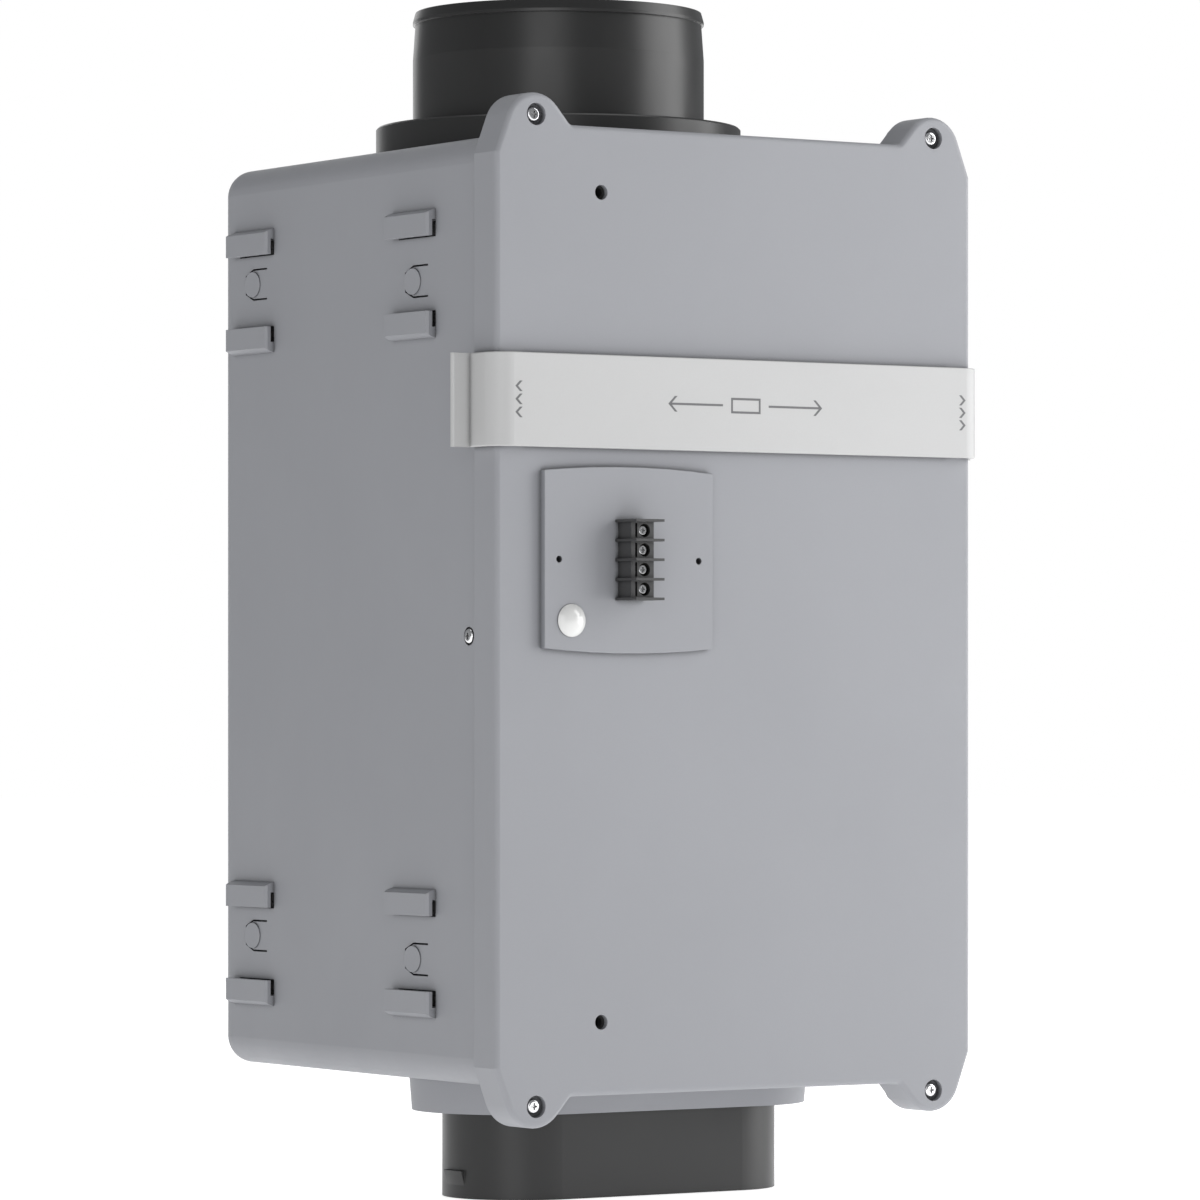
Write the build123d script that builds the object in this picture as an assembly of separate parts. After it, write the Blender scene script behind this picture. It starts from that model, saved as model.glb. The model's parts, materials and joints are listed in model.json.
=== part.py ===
"""Heat recovery unit: a duct-mounted, single-path regenerative ventilator in a moulded casing.

Millimetres. X is the width, +Y runs from the front cover to the back, +Z is up. The origin is the
centre of the bounding box's underside: the unit stands on the rim of its oval spigot.
"""
from build123d import *
import math
import os

# ---------------------------------------------------------------- driving dimensions
COVER_WIDTH = 290.0          # front cover, across
COVER_HEIGHT = 479.5         # front cover, between its straight edges
COVER_DEPTH = 20.0           # depth of the cover's skirt
COVER_WALL = 3.0             # front plate
COVER_EDGE_RADIUS = 2.6
UNIT_DEPTH = 279.0           # front of the cover to the back of the casing
CASING_WALL = 3.0
CASING_STEP = 4.6            # the casing stands this far inside the skirt's outer face
CASING_DRAFT = 0.25          # degrees, all four sides towards the back
CASING_RADIUS = 14.0
RIM_THICKNESS = 2.4          # tongue of the casing inside the skirt
RIM_INSET = 0.2              # the tongue stands this far inside the casing's outer face
RIM_LENGTH = 12.0
GASKET_WIDTH = 3.0

FIT_CLEARANCE = 0.3          # between parts that push together
SLIDE_CLEARANCE = 1.0        # around the parts that slide out
AIR_CLEARANCE = 1.5          # fan blade tips
SHAFT_CLEARANCE = 0.03

EAR_RADIUS = 17.5            # screw ears on the cover's corners
EAR_FROM_SIDE = 23.5
EAR_RISE = 15.0              # tip of an ear beyond the cover's edge
EAR_FLANK_DROP = 15.0        # where the outer flank leaves the cover's side
EAR_INNER_FOOT = 21.0        # inner foot of an ear from the ear's centre
EAR_FOOT_RADIUS = 3.5
SCREW_BEYOND_EDGE = 4.2
SCREW_RADIUS = 2.0
SCREW_HEAD_RADIUS = 3.7
SCREW_HEAD_HEIGHT = 2.2
SCREW_RECESS_RADIUS = 5.5
SCREW_RECESS_DEPTH = 4.0
INSERT_RADIUS = 3.2
INSERT_LENGTH = 8.0
LUG_RADIUS = 7.5
LUG_LENGTH = 12.0
SIDE_SCREW_Y = 31.9          # behind the cover's front plane
SIDE_SCREW_HEIGHT = 227.3    # above the cover's lower edge
SIDE_SCREW_LENGTH = 5.0
SIDE_RECESS_RADIUS = 4.6
SIDE_RECESS_DEPTH = 1.3
SIDE_BOSS_RADIUS = 4.9
SIDE_BOSS_DEPTH = 7.5

PAD_WIDTH = 100.2            # raised wiring pad on the cover
PAD_SIDE_HEIGHT = 87.6
PAD_CROWN = 2.4              # rise of the arched top and bottom
PAD_THICKNESS = 4.0
PAD_EDGE_RADIUS = 0.3
PAD_CENTRE_X = -69.0
PAD_CENTRE_HEIGHT = 265.0
PAD_HOLE_SPACING = 83.34     # single-gang box screw spacing
PAD_HOLE_RADIUS = 1.7
ENTRY_HOLE_RADIUS = 5.5      # cable entry, closed by a push-in plug
ENTRY_X = -103.4
ENTRY_HEIGHT = 234.9
PLUG_HEAD_RADIUS = 8.2
PLUG_DOME_HEIGHT = 3.6
PORT_RADIUS = 3.7            # pressure test ports
PORT_X = -83.1
PORT_HEIGHTS = (36.3, 446.9)

POLES = 4                    # barrier terminal block
POLE_PITCH = 9.68
TERMINAL_BODY_WIDTH = 13.4
TERMINAL_BODY_DEPTH = 11.6
FIN_WIDTH = 16.8
FIN_DEPTH = 18.6
FIN_THICKNESS = 1.3
TERMINAL_POCKET_RADIUS = 3.3
TERMINAL_POCKET_DEPTH = 4.2
TERMINAL_PIN_RADIUS = 0.6
TERMINAL_SCREW_X = 1.2       # screws and pockets, right of the block's middle
SLIT_X = -3.8                # wire slits, from the block's middle
SLIT_WIDTH = 1.2
SLIT_DEPTH = 5.0
PIN_SLOT_WIDTH = 4.0         # slot in the pad behind the block

STRAP_HEIGHT = 46.2          # access cover
STRAP_WALL = 3.0
STRAP_STANDOFF = 3.0         # gap between its front wall and the cover
STRAP_CORNER_RADIUS = 10.8
STRAP_SIDE_LENGTH = 17.5     # its arms end this far behind the cover's front
STRAP_TAB = 10.0
STRAP_EDGE_RADIUS = 0.6
STRAP_BASE_HEIGHT = 320.0    # lower edge above the cover's lower edge

FILTER_WIDTH = 212.0
FILTER_DEPTH = 214.0
FILTER_THICKNESS = 26.0
FILTER_WALL = 4.0
FILTER_PLEATS = 16
MEDIA_THICKNESS = 1.6

CLIP_COLUMNS = (63.0, 221.3)  # front ends of the two clip columns, behind the cover's front
CLIP_LENGTH = 40.8
WINDOW_LENGTH = 35.0         # window in the wall under a clip's lip
WINDOW_OVERLAP = 0.4         # the window shows this far past the lip's free edge
CLIP_PROUD = 5.2
CLIP_PLATE = 3.2
CLIP_HEIGHT = 13.4
CLIP_ROOT = 5.4
CLIP_BEVEL = 1.3
CHANNEL_HEIGHT = 37.6        # clear height between the clips of a pair
CHANNEL_CENTRES = (69.3, 408.4)
LATCH_OFFSETS = (-3.2, 3.9)  # latch centre from the channel's centre, front and rear column
LATCH_FROM_CLIP = 7.2
LATCH_LENGTH = 21.8
LATCH_HALF_WIDTH = 8.25
LATCH_CORNER = 8.0
LATCH_SLOT = 0.9
BUMP_RADIUS = 6.6
BUMP_FROM_ROOT = 13.5
BUMP_HEIGHT = 1.2            # at its middle; it rises towards the rear
BUMP_TILT = 6.0

DUCT_RADIUS = 76.15          # round spigot, outside
SPIGOT_WALL = 3.4
SPIGOT_Y = 165.1             # behind the cover's front plane
FLANGE_RADIUS = 95.4
FLANGE_THICKNESS = 18.0
FLANGE_RISE = 15.0           # flange top above the cover's upper edge
STRAIGHT_LENGTH = 35.5
TAPER_LENGTH = 18.5
TAPER_DROP = 1.3
BARB_HEIGHT = 6.3
PLINTH_MARGIN = 3.0
FLANGE_SCREW_CIRCLE = 86.0
FLANGE_SCREWS = 4
FLANGE_SCREW_BITE = 3.7      # how far the screws reach into the casing
FLANGE_SCREW_RADIUS = 1.6

OVAL_HALF_WIDTH = 95.3       # oval spigot, outside
OVAL_RADIUS = 39.8
OVAL_WALL = 2.6
OVAL_Y = 116.6
OVAL_DROP = 57.5             # rim below the cover's lower edge
OVAL_FLANGE_WIDTH = 8.0
OVAL_FLANGE_THICKNESS = 3.0
OVAL_GASKET_THICKNESS = 1.5
COLLAR_HALF_WIDTH = 111.4    # moulded collar under the casing
COLLAR_RADIUS = 52.4
COLLAR_DROP = 13.4
COLLAR_DRAFT = 4.5           # degrees, narrowing downwards
CATCH_WIDTH = 16.5           # snap tooth on each end of the oval spigot
CATCH_HEIGHT = 7.4
CATCH_PROUD = 2.0
CATCH_TOP = 14.1             # top of the tooth above the rim

LINER_FRONT = 29.0           # foam liner starts this far behind the cover's front
LINER_CLEARANCE = 0.6
AXIS_Y = 148.0               # core and fan axis
CORE_SIDE = 156.0
CORE_HEIGHT = 120.0
SLEEVE_THICKNESS = 4.0
GRID_HEIGHT = 8.0
GRID_BARS = 5
GRID_BAR = 2.4
LINER_LEDGE = 6.0
LINER_JOINT_LOW = 158.0      # joints between the liner pieces, above the cover's lower edge
LINER_JOINT_HIGH = 318.0
CHAMBER_WIDTH = 196.0
CHAMBER_DEPTH = 168.0
CHAMBER_RADIUS = 12.0

FAN_BORE_RADIUS = 75.0
FAN_WALL = 3.0
FAN_HEIGHT = 38.0
FAN_BASE = 106.0             # underside of the fan above the cover's lower edge
FAN_EAR_RADIUS = 6.0
HUB_RADIUS = 30.0
HUB_HEIGHT = 27.0
BLADES = 7
BLADE_PITCH = 32.0
BLADE_THICKNESS = 2.0
STRUTS = 3
STRUT_WIDTH = 6.0
STRUT_HEIGHT = 3.0
SHAFT_RADIUS = 2.5
BEARING_RADIUS = 5.0
BEARING_LENGTH = 4.0
GUARD_WIRE = 1.0

TRAY_WIDTH = 108.0           # electronics tray behind the wiring pad
TRAY_HEIGHT = 84.0
TRAY_DEPTH = 17.5
TRAY_WALL = 1.6
BOARD_THICKNESS = 1.6
BOARD_FRONT = 10.0           # front face of the board behind the cover's front
LEAD_RADIUS = 1.4
LEAD_X = -58.0               # fan lead and its socket
LEAD_RISE = 28.0             # where the lead leaves the fan, above the fan's underside
TRAY_DROP = 3.0              # tray's centre below the wiring pad's
PROBE_RADIUS = 2.5           # temperature probes in the two air chambers
PROBE_X = 70.0
PROBE_HEIGHTS = (70.0, 400.0)

# ---------------------------------------------------------------- levels and planes
Y_FRONT = -(UNIT_DEPTH - PAD_THICKNESS - FIN_DEPTH) / 2
Y_BACK = Y_FRONT + UNIT_DEPTH
Y_SKIRT = Y_FRONT + COVER_DEPTH
Z_EDGE = OVAL_DROP                       # lower edge of the front cover
Z_TOP = Z_EDGE + COVER_HEIGHT
Z_MID = (Z_EDGE + Z_TOP) / 2
HALF_WIDTH = COVER_WIDTH / 2
SLOPE = math.tan(math.radians(CASING_DRAFT))
EAR_X = HALF_WIDTH - EAR_FROM_SIDE
SCREW_Z = COVER_HEIGHT / 2 + SCREW_BEYOND_EDGE
PAD_Z = Z_EDGE + PAD_CENTRE_HEIGHT
PAD_FACE = Y_FRONT - PAD_THICKNESS
RIM_WIDTH = COVER_WIDTH - 2 * (CASING_STEP + RIM_INSET)
RIM_HEIGHT = COVER_HEIGHT - 2 * (CASING_STEP + RIM_INSET)
RIM_RADIUS = CASING_RADIUS - RIM_INSET
TERMINAL_X = PAD_CENTRE_X + TERMINAL_SCREW_X
TRAY_X = PAD_CENTRE_X
TRAY_Z = PAD_Z - TRAY_DROP
FAN_Y = Y_FRONT + AXIS_Y
SLOT_Z = Z_EDGE + STRAP_BASE_HEIGHT + STRAP_HEIGHT / 2
SLOT_WIDTH = FILTER_WIDTH + 2 * SLIDE_CLEARANCE
SLOT_HEIGHT = FILTER_THICKNESS + 2 * SLIDE_CLEARANCE
FLANGE_TOP = Z_TOP + FLANGE_RISE
FLANGE_BASE = FLANGE_TOP - FLANGE_THICKNESS
CORE_BASE = Z_EDGE + LINER_JOINT_LOW + LINER_LEDGE + GRID_HEIGHT
LEAD_Z = Z_EDGE + FAN_BASE + LEAD_RISE


# ---------------------------------------------------------------- helpers
def block(x0, x1, y0, y1, z0, z1):
    """Box between two corners."""
    centre = Pos((x0 + x1) / 2, (y0 + y1) / 2, (z0 + z1) / 2)
    return centre * Box(x1 - x0, y1 - y0, z1 - z0)


def rod_y(radius, x, z, y0, y1):
    """Cylinder along Y."""
    return Pos(x, (y0 + y1) / 2, z) * Rot(90, 0, 0) * Cylinder(radius, y1 - y0)


def rod_z(radius, x, y, z0, z1):
    """Cylinder along Z."""
    return Pos(x, y, (z0 + z1) / 2) * Cylinder(radius, z1 - z0)


def front_plane(y, z=0.0):
    """Sketch plane whose local x and y are the unit's X and Z; it extrudes towards the front."""
    return Plane(origin=(0, y, z), x_dir=(1, 0, 0), z_dir=(0, -1, 0))


def rounded_plate(width, height, radius, y0, y1):
    """Upright plate with rounded corners about the cover's middle, between two distances behind the front."""
    outline = RectangleRounded(width, height, radius)
    return extrude(front_plane(Y_FRONT + y1, Z_MID) * outline, y1 - y0)


def stadium(half_width, radius, z0, z1, y, taper=0.0):
    """Upright prism with a slot-shaped plan, centred across the unit."""
    outline = Plane.XY.offset(z0) * (Pos(0, y) * SlotOverall(2 * half_width, 2 * radius))
    return extrude(outline, z1 - z0, taper=taper)


def merge(pieces):
    """Union of a list of solids."""
    result = pieces[0]
    for piece in pieces[1:]:
        result += piece
    return result


def corners():
    """Signs of the four corners."""
    return [(sx, sz) for sx in (-1, 1) for sz in (-1, 1)]


def casing_half_width(y):
    """Half width of the casing's outside at a distance behind the cover's front plane."""
    return HALF_WIDTH - CASING_STEP - SLOPE * (y - COVER_DEPTH)


def casing_half_height(y):
    """Half height of the casing's outside, about the cover's middle."""
    return COVER_HEIGHT / 2 - CASING_STEP - SLOPE * (y - COVER_DEPTH)


def drafted(inset, y0, y1, radius):
    """Drafted block inside the casing's outline, its long and rear edges rounded."""
    width = 2 * (casing_half_width(y0) - inset)
    height = 2 * (casing_half_height(y0) - inset)
    plane = Plane(origin=(0, Y_FRONT + y0, Z_MID), x_dir=(1, 0, 0), z_dir=(0, 1, 0))
    body = extrude(plane * Rectangle(width, height), y1 - y0, taper=CASING_DRAFT)
    front_edges = body.edges().filter_by(lambda e: e.center().Y < Y_FRONT + y0 + 0.01)
    return fillet([e for e in body.edges() if e not in front_edges], radius)


# ---------------------------------------------------------------- casing and cover
def corner_waste(sx, sz):
    """Corner of the cover's rectangle outside the ear's outer flank."""
    cx = EAR_X
    cz = COVER_HEIGHT / 2 + EAR_RISE - EAR_RADIUS
    start_z = COVER_HEIGHT / 2 - EAR_FLANK_DROP
    reach = math.hypot(cx - HALF_WIDTH, cz - start_z)
    angle = math.atan2(cz - start_z, cx - HALF_WIDTH) - math.asin(EAR_RADIUS / reach)
    top_x = HALF_WIDTH + EAR_FLANK_DROP / math.tan(angle)
    points = [(HALF_WIDTH, start_z), (HALF_WIDTH, COVER_HEIGHT / 2), (top_x, COVER_HEIGHT / 2)]
    return make_face(Polyline(*[(sx * x, sz * z) for x, z in points], close=True))


def ear_outline(sx, sz):
    """Face of one screw ear: a disc with a long outer flank and a short inner one."""
    cx = sx * EAR_X
    cz = sz * (COVER_HEIGHT / 2 + EAR_RISE - EAR_RADIUS)
    outer = Vector(sx * HALF_WIDTH, sz * (COVER_HEIGHT / 2 - EAR_FLANK_DROP))
    inner = Vector(sx * (EAR_X - EAR_INNER_FOOT), sz * COVER_HEIGHT / 2)
    face = Pos(cx, cz) * Circle(EAR_RADIUS)
    for point, turn in ((outer, -sx * sz), (inner, sx * sz)):
        dx = cx - point.X
        dz = cz - point.Y
        reach = math.hypot(dx, dz)
        angle = math.atan2(dz, dx) + turn * math.asin(EAR_RADIUS / reach)
        run = math.sqrt(reach ** 2 - EAR_RADIUS ** 2)
        touch = (point.X + run * math.cos(angle), point.Y + run * math.sin(angle))
        face += make_face(Polyline((point.X, point.Y), touch, (cx, cz), close=True))
    return face


def cover_outline():
    """Front view of the cover: a rectangle with an ear in place of each corner."""
    face = Rectangle(COVER_WIDTH, COVER_HEIGHT)
    for sx, sz in corners():
        face -= corner_waste(sx, sz)
    for sx, sz in corners():
        face += ear_outline(sx, sz)
    feet = []
    for vertex in face.vertices():
        on_edge = abs(abs(vertex.Y) - COVER_HEIGHT / 2) < 0.01
        if on_edge and abs(abs(vertex.X) - (EAR_X - EAR_INNER_FOOT)) < 0.01:
            feet.append(vertex)
    return fillet(feet, EAR_FOOT_RADIUS)


def pad_outline():
    """Wiring pad: straight sides, gently arched top and bottom."""
    half = PAD_WIDTH / 2
    side = PAD_SIDE_HEIGHT / 2
    crown = side + PAD_CROWN
    top = ThreePointArc((-half, side), (0, crown), (half, side))
    right = Line((half, side), (half, -side))
    bottom = ThreePointArc((half, -side), (0, -crown), (-half, -side))
    left = Line((-half, -side), (-half, side))
    return make_face([top, right, bottom, left])


def make_front_cover():
    """Front cover with ears, wiring pad, filter slot, ports and the electronics posts."""
    plate = extrude(front_plane(Y_SKIRT, Z_MID) * cover_outline(), COVER_DEPTH)
    rim = plate.faces().sort_by(Axis.Y)[0].outer_wire().edges()
    plate = fillet(rim, COVER_EDGE_RADIUS)
    plate -= rounded_plate(RIM_WIDTH + 2 * FIT_CLEARANCE, RIM_HEIGHT + 2 * FIT_CLEARANCE,
                           RIM_RADIUS + FIT_CLEARANCE, COVER_WALL, COVER_DEPTH + 1)
    pad = extrude(front_plane(Y_FRONT) * Pos(PAD_CENTRE_X, PAD_Z) * pad_outline(), PAD_THICKNESS)
    pad = fillet(pad.faces().sort_by(Axis.Y)[0].outer_wire().edges(), PAD_EDGE_RADIUS)
    plate += pad
    back = Y_FRONT + COVER_WALL
    plate += merge([rod_y(3.0, x, z, back, back + 4.0) for x, z in tray_posts()])
    cuts = []
    for sx, sz in corners():
        x = sx * EAR_X
        z = Z_MID + sz * SCREW_Z
        cuts.append(rod_y(SCREW_RADIUS + FIT_CLEARANCE, x, z, Y_FRONT - 1, Y_SKIRT + 1))
        cuts.append(rod_y(SCREW_RECESS_RADIUS, x, z, Y_FRONT - 1, Y_FRONT + SCREW_RECESS_DEPTH))
    for sx in (-1, 1):
        x = PAD_CENTRE_X + sx * PAD_HOLE_SPACING / 2
        cuts.append(rod_y(PAD_HOLE_RADIUS, x, PAD_Z, PAD_FACE - 1, Y_FRONT + COVER_WALL + 1))
    for height in PORT_HEIGHTS:
        cuts.append(rod_y(PORT_RADIUS, PORT_X, Z_EDGE + height, Y_FRONT - 1, Y_FRONT + COVER_WALL + 1))
    cuts.append(rod_y(ENTRY_HOLE_RADIUS, ENTRY_X, Z_EDGE + ENTRY_HEIGHT, PAD_FACE - 1, Y_FRONT + 4))
    for x, z in tray_posts():
        cuts.append(rod_y(1.0, x, z, Y_FRONT + COVER_WALL, Y_FRONT + COVER_WALL + 5.0))
    reach = POLES * POLE_PITCH / 2
    cuts.append(block(TERMINAL_X - PIN_SLOT_WIDTH / 2, TERMINAL_X + PIN_SLOT_WIDTH / 2,
                      PAD_FACE - 1, Y_FRONT + COVER_WALL + 1, PAD_Z - reach, PAD_Z + reach))
    mouth = Pos(0, Y_FRONT + COVER_WALL / 2, SLOT_Z) * Box(SLOT_WIDTH, COVER_WALL + 2, SLOT_HEIGHT)
    cuts.append(mouth)
    for cut in cuts:
        plate -= cut
    return plate


def latch_slot(sx, y_root, z):
    """U-shaped slot that frees one latch tongue in the casing's side."""
    half = LATCH_HALF_WIDTH
    y_bend = y_root + LATCH_LENGTH - LATCH_CORNER
    end_half = half - LATCH_CORNER * 0.42
    outline = []
    for side in (-1, 1):
        leg = [(y_root, side * half), (y_bend, side * half), (y_bend + LATCH_CORNER, side * end_half)]
        outline.append(leg if side < 0 else leg[::-1])
    path = [(y, z + rise) for y, rise in outline[0] + outline[1]]
    inner = [(y - LATCH_SLOT * (y > y_bend), centre_shift(rise, z)) for y, rise in path]
    face = make_face(Polyline(*path, *inner[::-1], close=True))
    x = sx * (casing_half_width(y_root - Y_FRONT) - CASING_WALL / 2)
    plane = Plane(origin=(x, 0, 0), x_dir=(0, 1, 0), z_dir=(1, 0, 0))
    return extrude(plane * face, CASING_WALL, both=True)


def centre_shift(z_line, z):
    """Height of the slot's inner edge beside its outer edge."""
    return z_line - math.copysign(LATCH_SLOT, z_line - z)


def latch_bump(sx, y_root, z):
    """Low round bump on one latch tongue, flush at its front and rising towards the rear."""
    y = y_root + BUMP_FROM_ROOT
    x = casing_half_width(y - Y_FRONT)
    disc = Pos(sx * (BUMP_HEIGHT / 2 - 0.5), 0, 0) * Rot(0, 90, 0) * Cylinder(BUMP_RADIUS, BUMP_HEIGHT + 1.0)
    return Pos(sx * x, y, z) * Rot(0, 0, -sx * BUMP_TILT) * disc


def side_rod(sx, radius, depth0, depth1):
    """Cylinder on a side screw's axis, between two depths below the casing's side."""
    x = casing_half_width(SIDE_SCREW_Y) - (depth0 + depth1) / 2
    place = Pos(sx * x, Y_FRONT + SIDE_SCREW_Y, Z_EDGE + SIDE_SCREW_HEIGHT)
    return place * Rot(0, 90, 0) * Cylinder(radius, depth1 - depth0)


def latch_places():
    """Root end and height of every latch tongue on one side."""
    places = []
    for centre in CHANNEL_CENTRES:
        for column, offset in zip(CLIP_COLUMNS, LATCH_OFFSETS):
            places.append((Y_FRONT + column + LATCH_FROM_CLIP, Z_EDGE + centre + offset))
    return places


def rim_ring(thickness, y0, y1):
    """Ring on the casing's outline inside the skirt, between two distances behind the front."""
    ring = rounded_plate(RIM_WIDTH, RIM_HEIGHT, RIM_RADIUS, y0, y1)
    inner_width = RIM_WIDTH - 2 * thickness
    inner_height = RIM_HEIGHT - 2 * thickness
    return ring - rounded_plate(inner_width, inner_height, RIM_RADIUS - thickness, y0 - 1, y1 + 1)


def screw_lug(sx, sz):
    """Lug behind one ear for its screw insert, footed on the casing's wall."""
    x = sx * EAR_X
    lug = rod_y(LUG_RADIUS, x, Z_MID + sz * SCREW_Z, Y_SKIRT, Y_SKIRT + LUG_LENGTH)
    foot = casing_half_height(COVER_DEPTH) - CASING_WALL
    z0, z1 = sorted((Z_MID + sz * foot, Z_MID + sz * SCREW_Z))
    return lug + block(x - LUG_RADIUS, x + LUG_RADIUS, Y_SKIRT, Y_SKIRT + LUG_LENGTH, z0, z1)


def lip_windows(sx):
    """Windows through one side of the casing, one under the lip of every clip."""
    windows = []
    for centre in CHANNEL_CENTRES:
        for column in CLIP_COLUMNS:
            x = casing_half_width(column)
            x0, x1 = sorted((sx * (x - 2 * CASING_WALL), sx * (x + 1)))
            for up in (-1, 1):
                free = Z_EDGE + centre + up * (CHANNEL_HEIGHT / 2 - WINDOW_OVERLAP)
                step = Z_EDGE + centre + up * (CHANNEL_HEIGHT / 2 + CLIP_HEIGHT - CLIP_ROOT - WINDOW_OVERLAP)
                z0, z1 = sorted((free, step))
                windows.append(block(x0, x1, Y_FRONT + column, Y_FRONT + column + WINDOW_LENGTH, z0, z1))
    return windows


def make_rear_casing():
    """Drafted casing with its rim, screw lugs, spigot plinth, latch tongues and lower collar."""
    shell = drafted(0, COVER_DEPTH, UNIT_DEPTH, CASING_RADIUS)
    spigot_y = Y_FRONT + SPIGOT_Y
    oval_y = Y_FRONT + OVAL_Y
    collar_base = Z_EDGE - COLLAR_DROP
    shell += rod_z(FLANGE_RADIUS - PLINTH_MARGIN, 0, spigot_y, Z_TOP - 20, FLANGE_BASE)
    shell += stadium(COLLAR_HALF_WIDTH, COLLAR_RADIUS, collar_base, Z_EDGE + 12, oval_y, taper=-COLLAR_DRAFT)
    for sx, sz in corners():
        shell += screw_lug(sx, sz)
    for sx in (-1, 1):
        for y_root, z in latch_places():
            shell += latch_bump(sx, y_root, z)
    shell -= drafted(CASING_WALL, COVER_DEPTH - 1, UNIT_DEPTH - CASING_WALL, CASING_RADIUS - CASING_WALL)
    shell -= stadium(COLLAR_HALF_WIDTH - CASING_WALL, COLLAR_RADIUS - CASING_WALL,
                     collar_base + CASING_WALL, Z_EDGE + 20, oval_y)
    shell -= stadium(OVAL_HALF_WIDTH + FIT_CLEARANCE, OVAL_RADIUS + FIT_CLEARANCE,
                     collar_base - 1, Z_EDGE + 20, oval_y)
    shell -= rod_z(DUCT_RADIUS + FIT_CLEARANCE, 0, spigot_y, Z_TOP - 40, FLANGE_BASE + 1)
    for sx in (-1, 1):
        shell += side_rod(sx, SIDE_BOSS_RADIUS, CASING_WALL / 2, SIDE_BOSS_DEPTH)
    shell += rim_ring(RIM_THICKNESS, COVER_DEPTH - RIM_LENGTH, COVER_DEPTH + CASING_WALL)
    cuts = []
    for sx, sz in corners():
        z = Z_MID + sz * SCREW_Z
        cuts.append(rod_y(INSERT_RADIUS, sx * EAR_X, z, Y_SKIRT - 1, Y_SKIRT + INSERT_LENGTH))
        cuts.append(rod_y(SCREW_RADIUS + FIT_CLEARANCE, sx * EAR_X, z, Y_SKIRT, Y_SKIRT + INSERT_LENGTH + 3))
    for sx in (-1, 1):
        for y_root, z in latch_places():
            cuts.append(latch_slot(sx, y_root, z))
        cuts += lip_windows(sx)
        cuts.append(side_rod(sx, SIDE_RECESS_RADIUS, -5.0, SIDE_RECESS_DEPTH))
        cuts.append(side_rod(sx, SCREW_RADIUS, 0.0, SIDE_SCREW_LENGTH + SIDE_RECESS_DEPTH + 0.2))
    for x, y in flange_screw_places():
        cuts.append(rod_z(FLANGE_SCREW_RADIUS, x, y, FLANGE_BASE - FLANGE_SCREW_BITE, FLANGE_BASE + 1))
    for x, y in oval_screw_places():
        cuts.append(rod_z(1.3, x, y, collar_base + 0.8, collar_base + 4))
    for cut in cuts:
        shell -= cut
    return shell


def make_bracket_clips(sx):
    """Four pairs of L-shaped clips on one side: a root on the casing and a lip over the channel."""
    clips = []
    for centre in CHANNEL_CENTRES:
        for column in CLIP_COLUMNS:
            for up in (-1, 1):
                clips.append(bracket_clip(sx, column, Z_EDGE + centre, up))
    return Compound(children=clips)


def bracket_clip(sx, column, z_centre, up):
    """One clip, extruded along the casing's drafted side."""
    x = casing_half_width(column)
    z_free = z_centre + up * CHANNEL_HEIGHT / 2
    z_foot = z_free + up * CLIP_HEIGHT
    z_step = z_foot - up * CLIP_ROOT
    lip = CLIP_PROUD - CLIP_PLATE
    points = [(0, z_foot), (CLIP_PROUD - CLIP_BEVEL - 1, z_foot - up * 0.8), (CLIP_PROUD, z_foot - up * 2.2),
              (CLIP_PROUD, z_free), (lip, z_free), (lip, z_step), (0, z_step)]
    outline = make_face(Polyline(*[(sx * px, pz) for px, pz in points], close=True))
    plane = Plane(origin=(sx * x, Y_FRONT + column, 0), x_dir=(1, 0, 0), z_dir=(0, -1, 0))
    clip = extrude(plane * outline, -CLIP_LENGTH)
    clip = clip.rotate(Axis((sx * x, Y_FRONT + column, 0), (0, 0, 1)), sx * CASING_DRAFT)
    edges = clip.edges().filter_by(lambda e: abs(e.center().Y - Y_FRONT - column) < 0.4)
    outer = [e for e in edges if abs(e.center().X) > x + CLIP_PROUD - 0.5 and e.length > CLIP_HEIGHT / 2]
    return chamfer(outer, CLIP_BEVEL)


def make_cover_gasket():
    """Foam strip between the casing's rim and the cover's plate."""
    return rim_ring(GASKET_WIDTH, COVER_WALL, COVER_DEPTH - RIM_LENGTH)


def cross_recess(depth):
    """Cutter for a cross drive, its mouth at z = 0."""
    long_bar = Box(3.4, 0.8, 2 * depth)
    return long_bar + Box(0.8, 3.4, 2 * depth) + Cylinder(0.9, 2 * depth)


def pan_screw(length, radius=SCREW_RADIUS, head_radius=SCREW_HEAD_RADIUS, head_height=SCREW_HEAD_HEIGHT):
    """Pan-head screw along -Z with the underside of its head at z = 0."""
    head = Cylinder(head_radius, head_height, align=(Align.CENTER, Align.CENTER, Align.MIN))
    head = fillet(head.edges().sort_by(Axis.Z)[-1], head_height * 0.6)
    head -= Pos(0, 0, head_height) * scale(cross_recess(head_height * 0.6), head_radius / SCREW_HEAD_RADIUS)
    shank = Cylinder(radius, length, align=(Align.CENTER, Align.CENTER, Align.MAX))
    return head + shank


def countersunk_screw(length, radius, head_radius):
    """Countersunk screw along -Z with the top of its head at z = 0."""
    head_height = head_radius - radius
    head = Cone(radius, head_radius, head_height, align=(Align.CENTER, Align.CENTER, Align.MAX))
    head -= scale(cross_recess(head_height * 0.7), head_radius / SCREW_HEAD_RADIUS)
    return head + Cylinder(radius, length, align=(Align.CENTER, Align.CENTER, Align.MAX))


def make_cover_screws():
    """Four screws through the ears into the casing's inserts."""
    length = COVER_DEPTH - SCREW_RECESS_DEPTH + INSERT_LENGTH - 0.5
    screws = []
    for sx, sz in corners():
        place = Pos(sx * EAR_X, Y_FRONT + SCREW_RECESS_DEPTH, Z_MID + sz * SCREW_Z)
        screws.append(place * Rot(90, 0, 0) * pan_screw(length))
    return Compound(children=screws)


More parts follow.
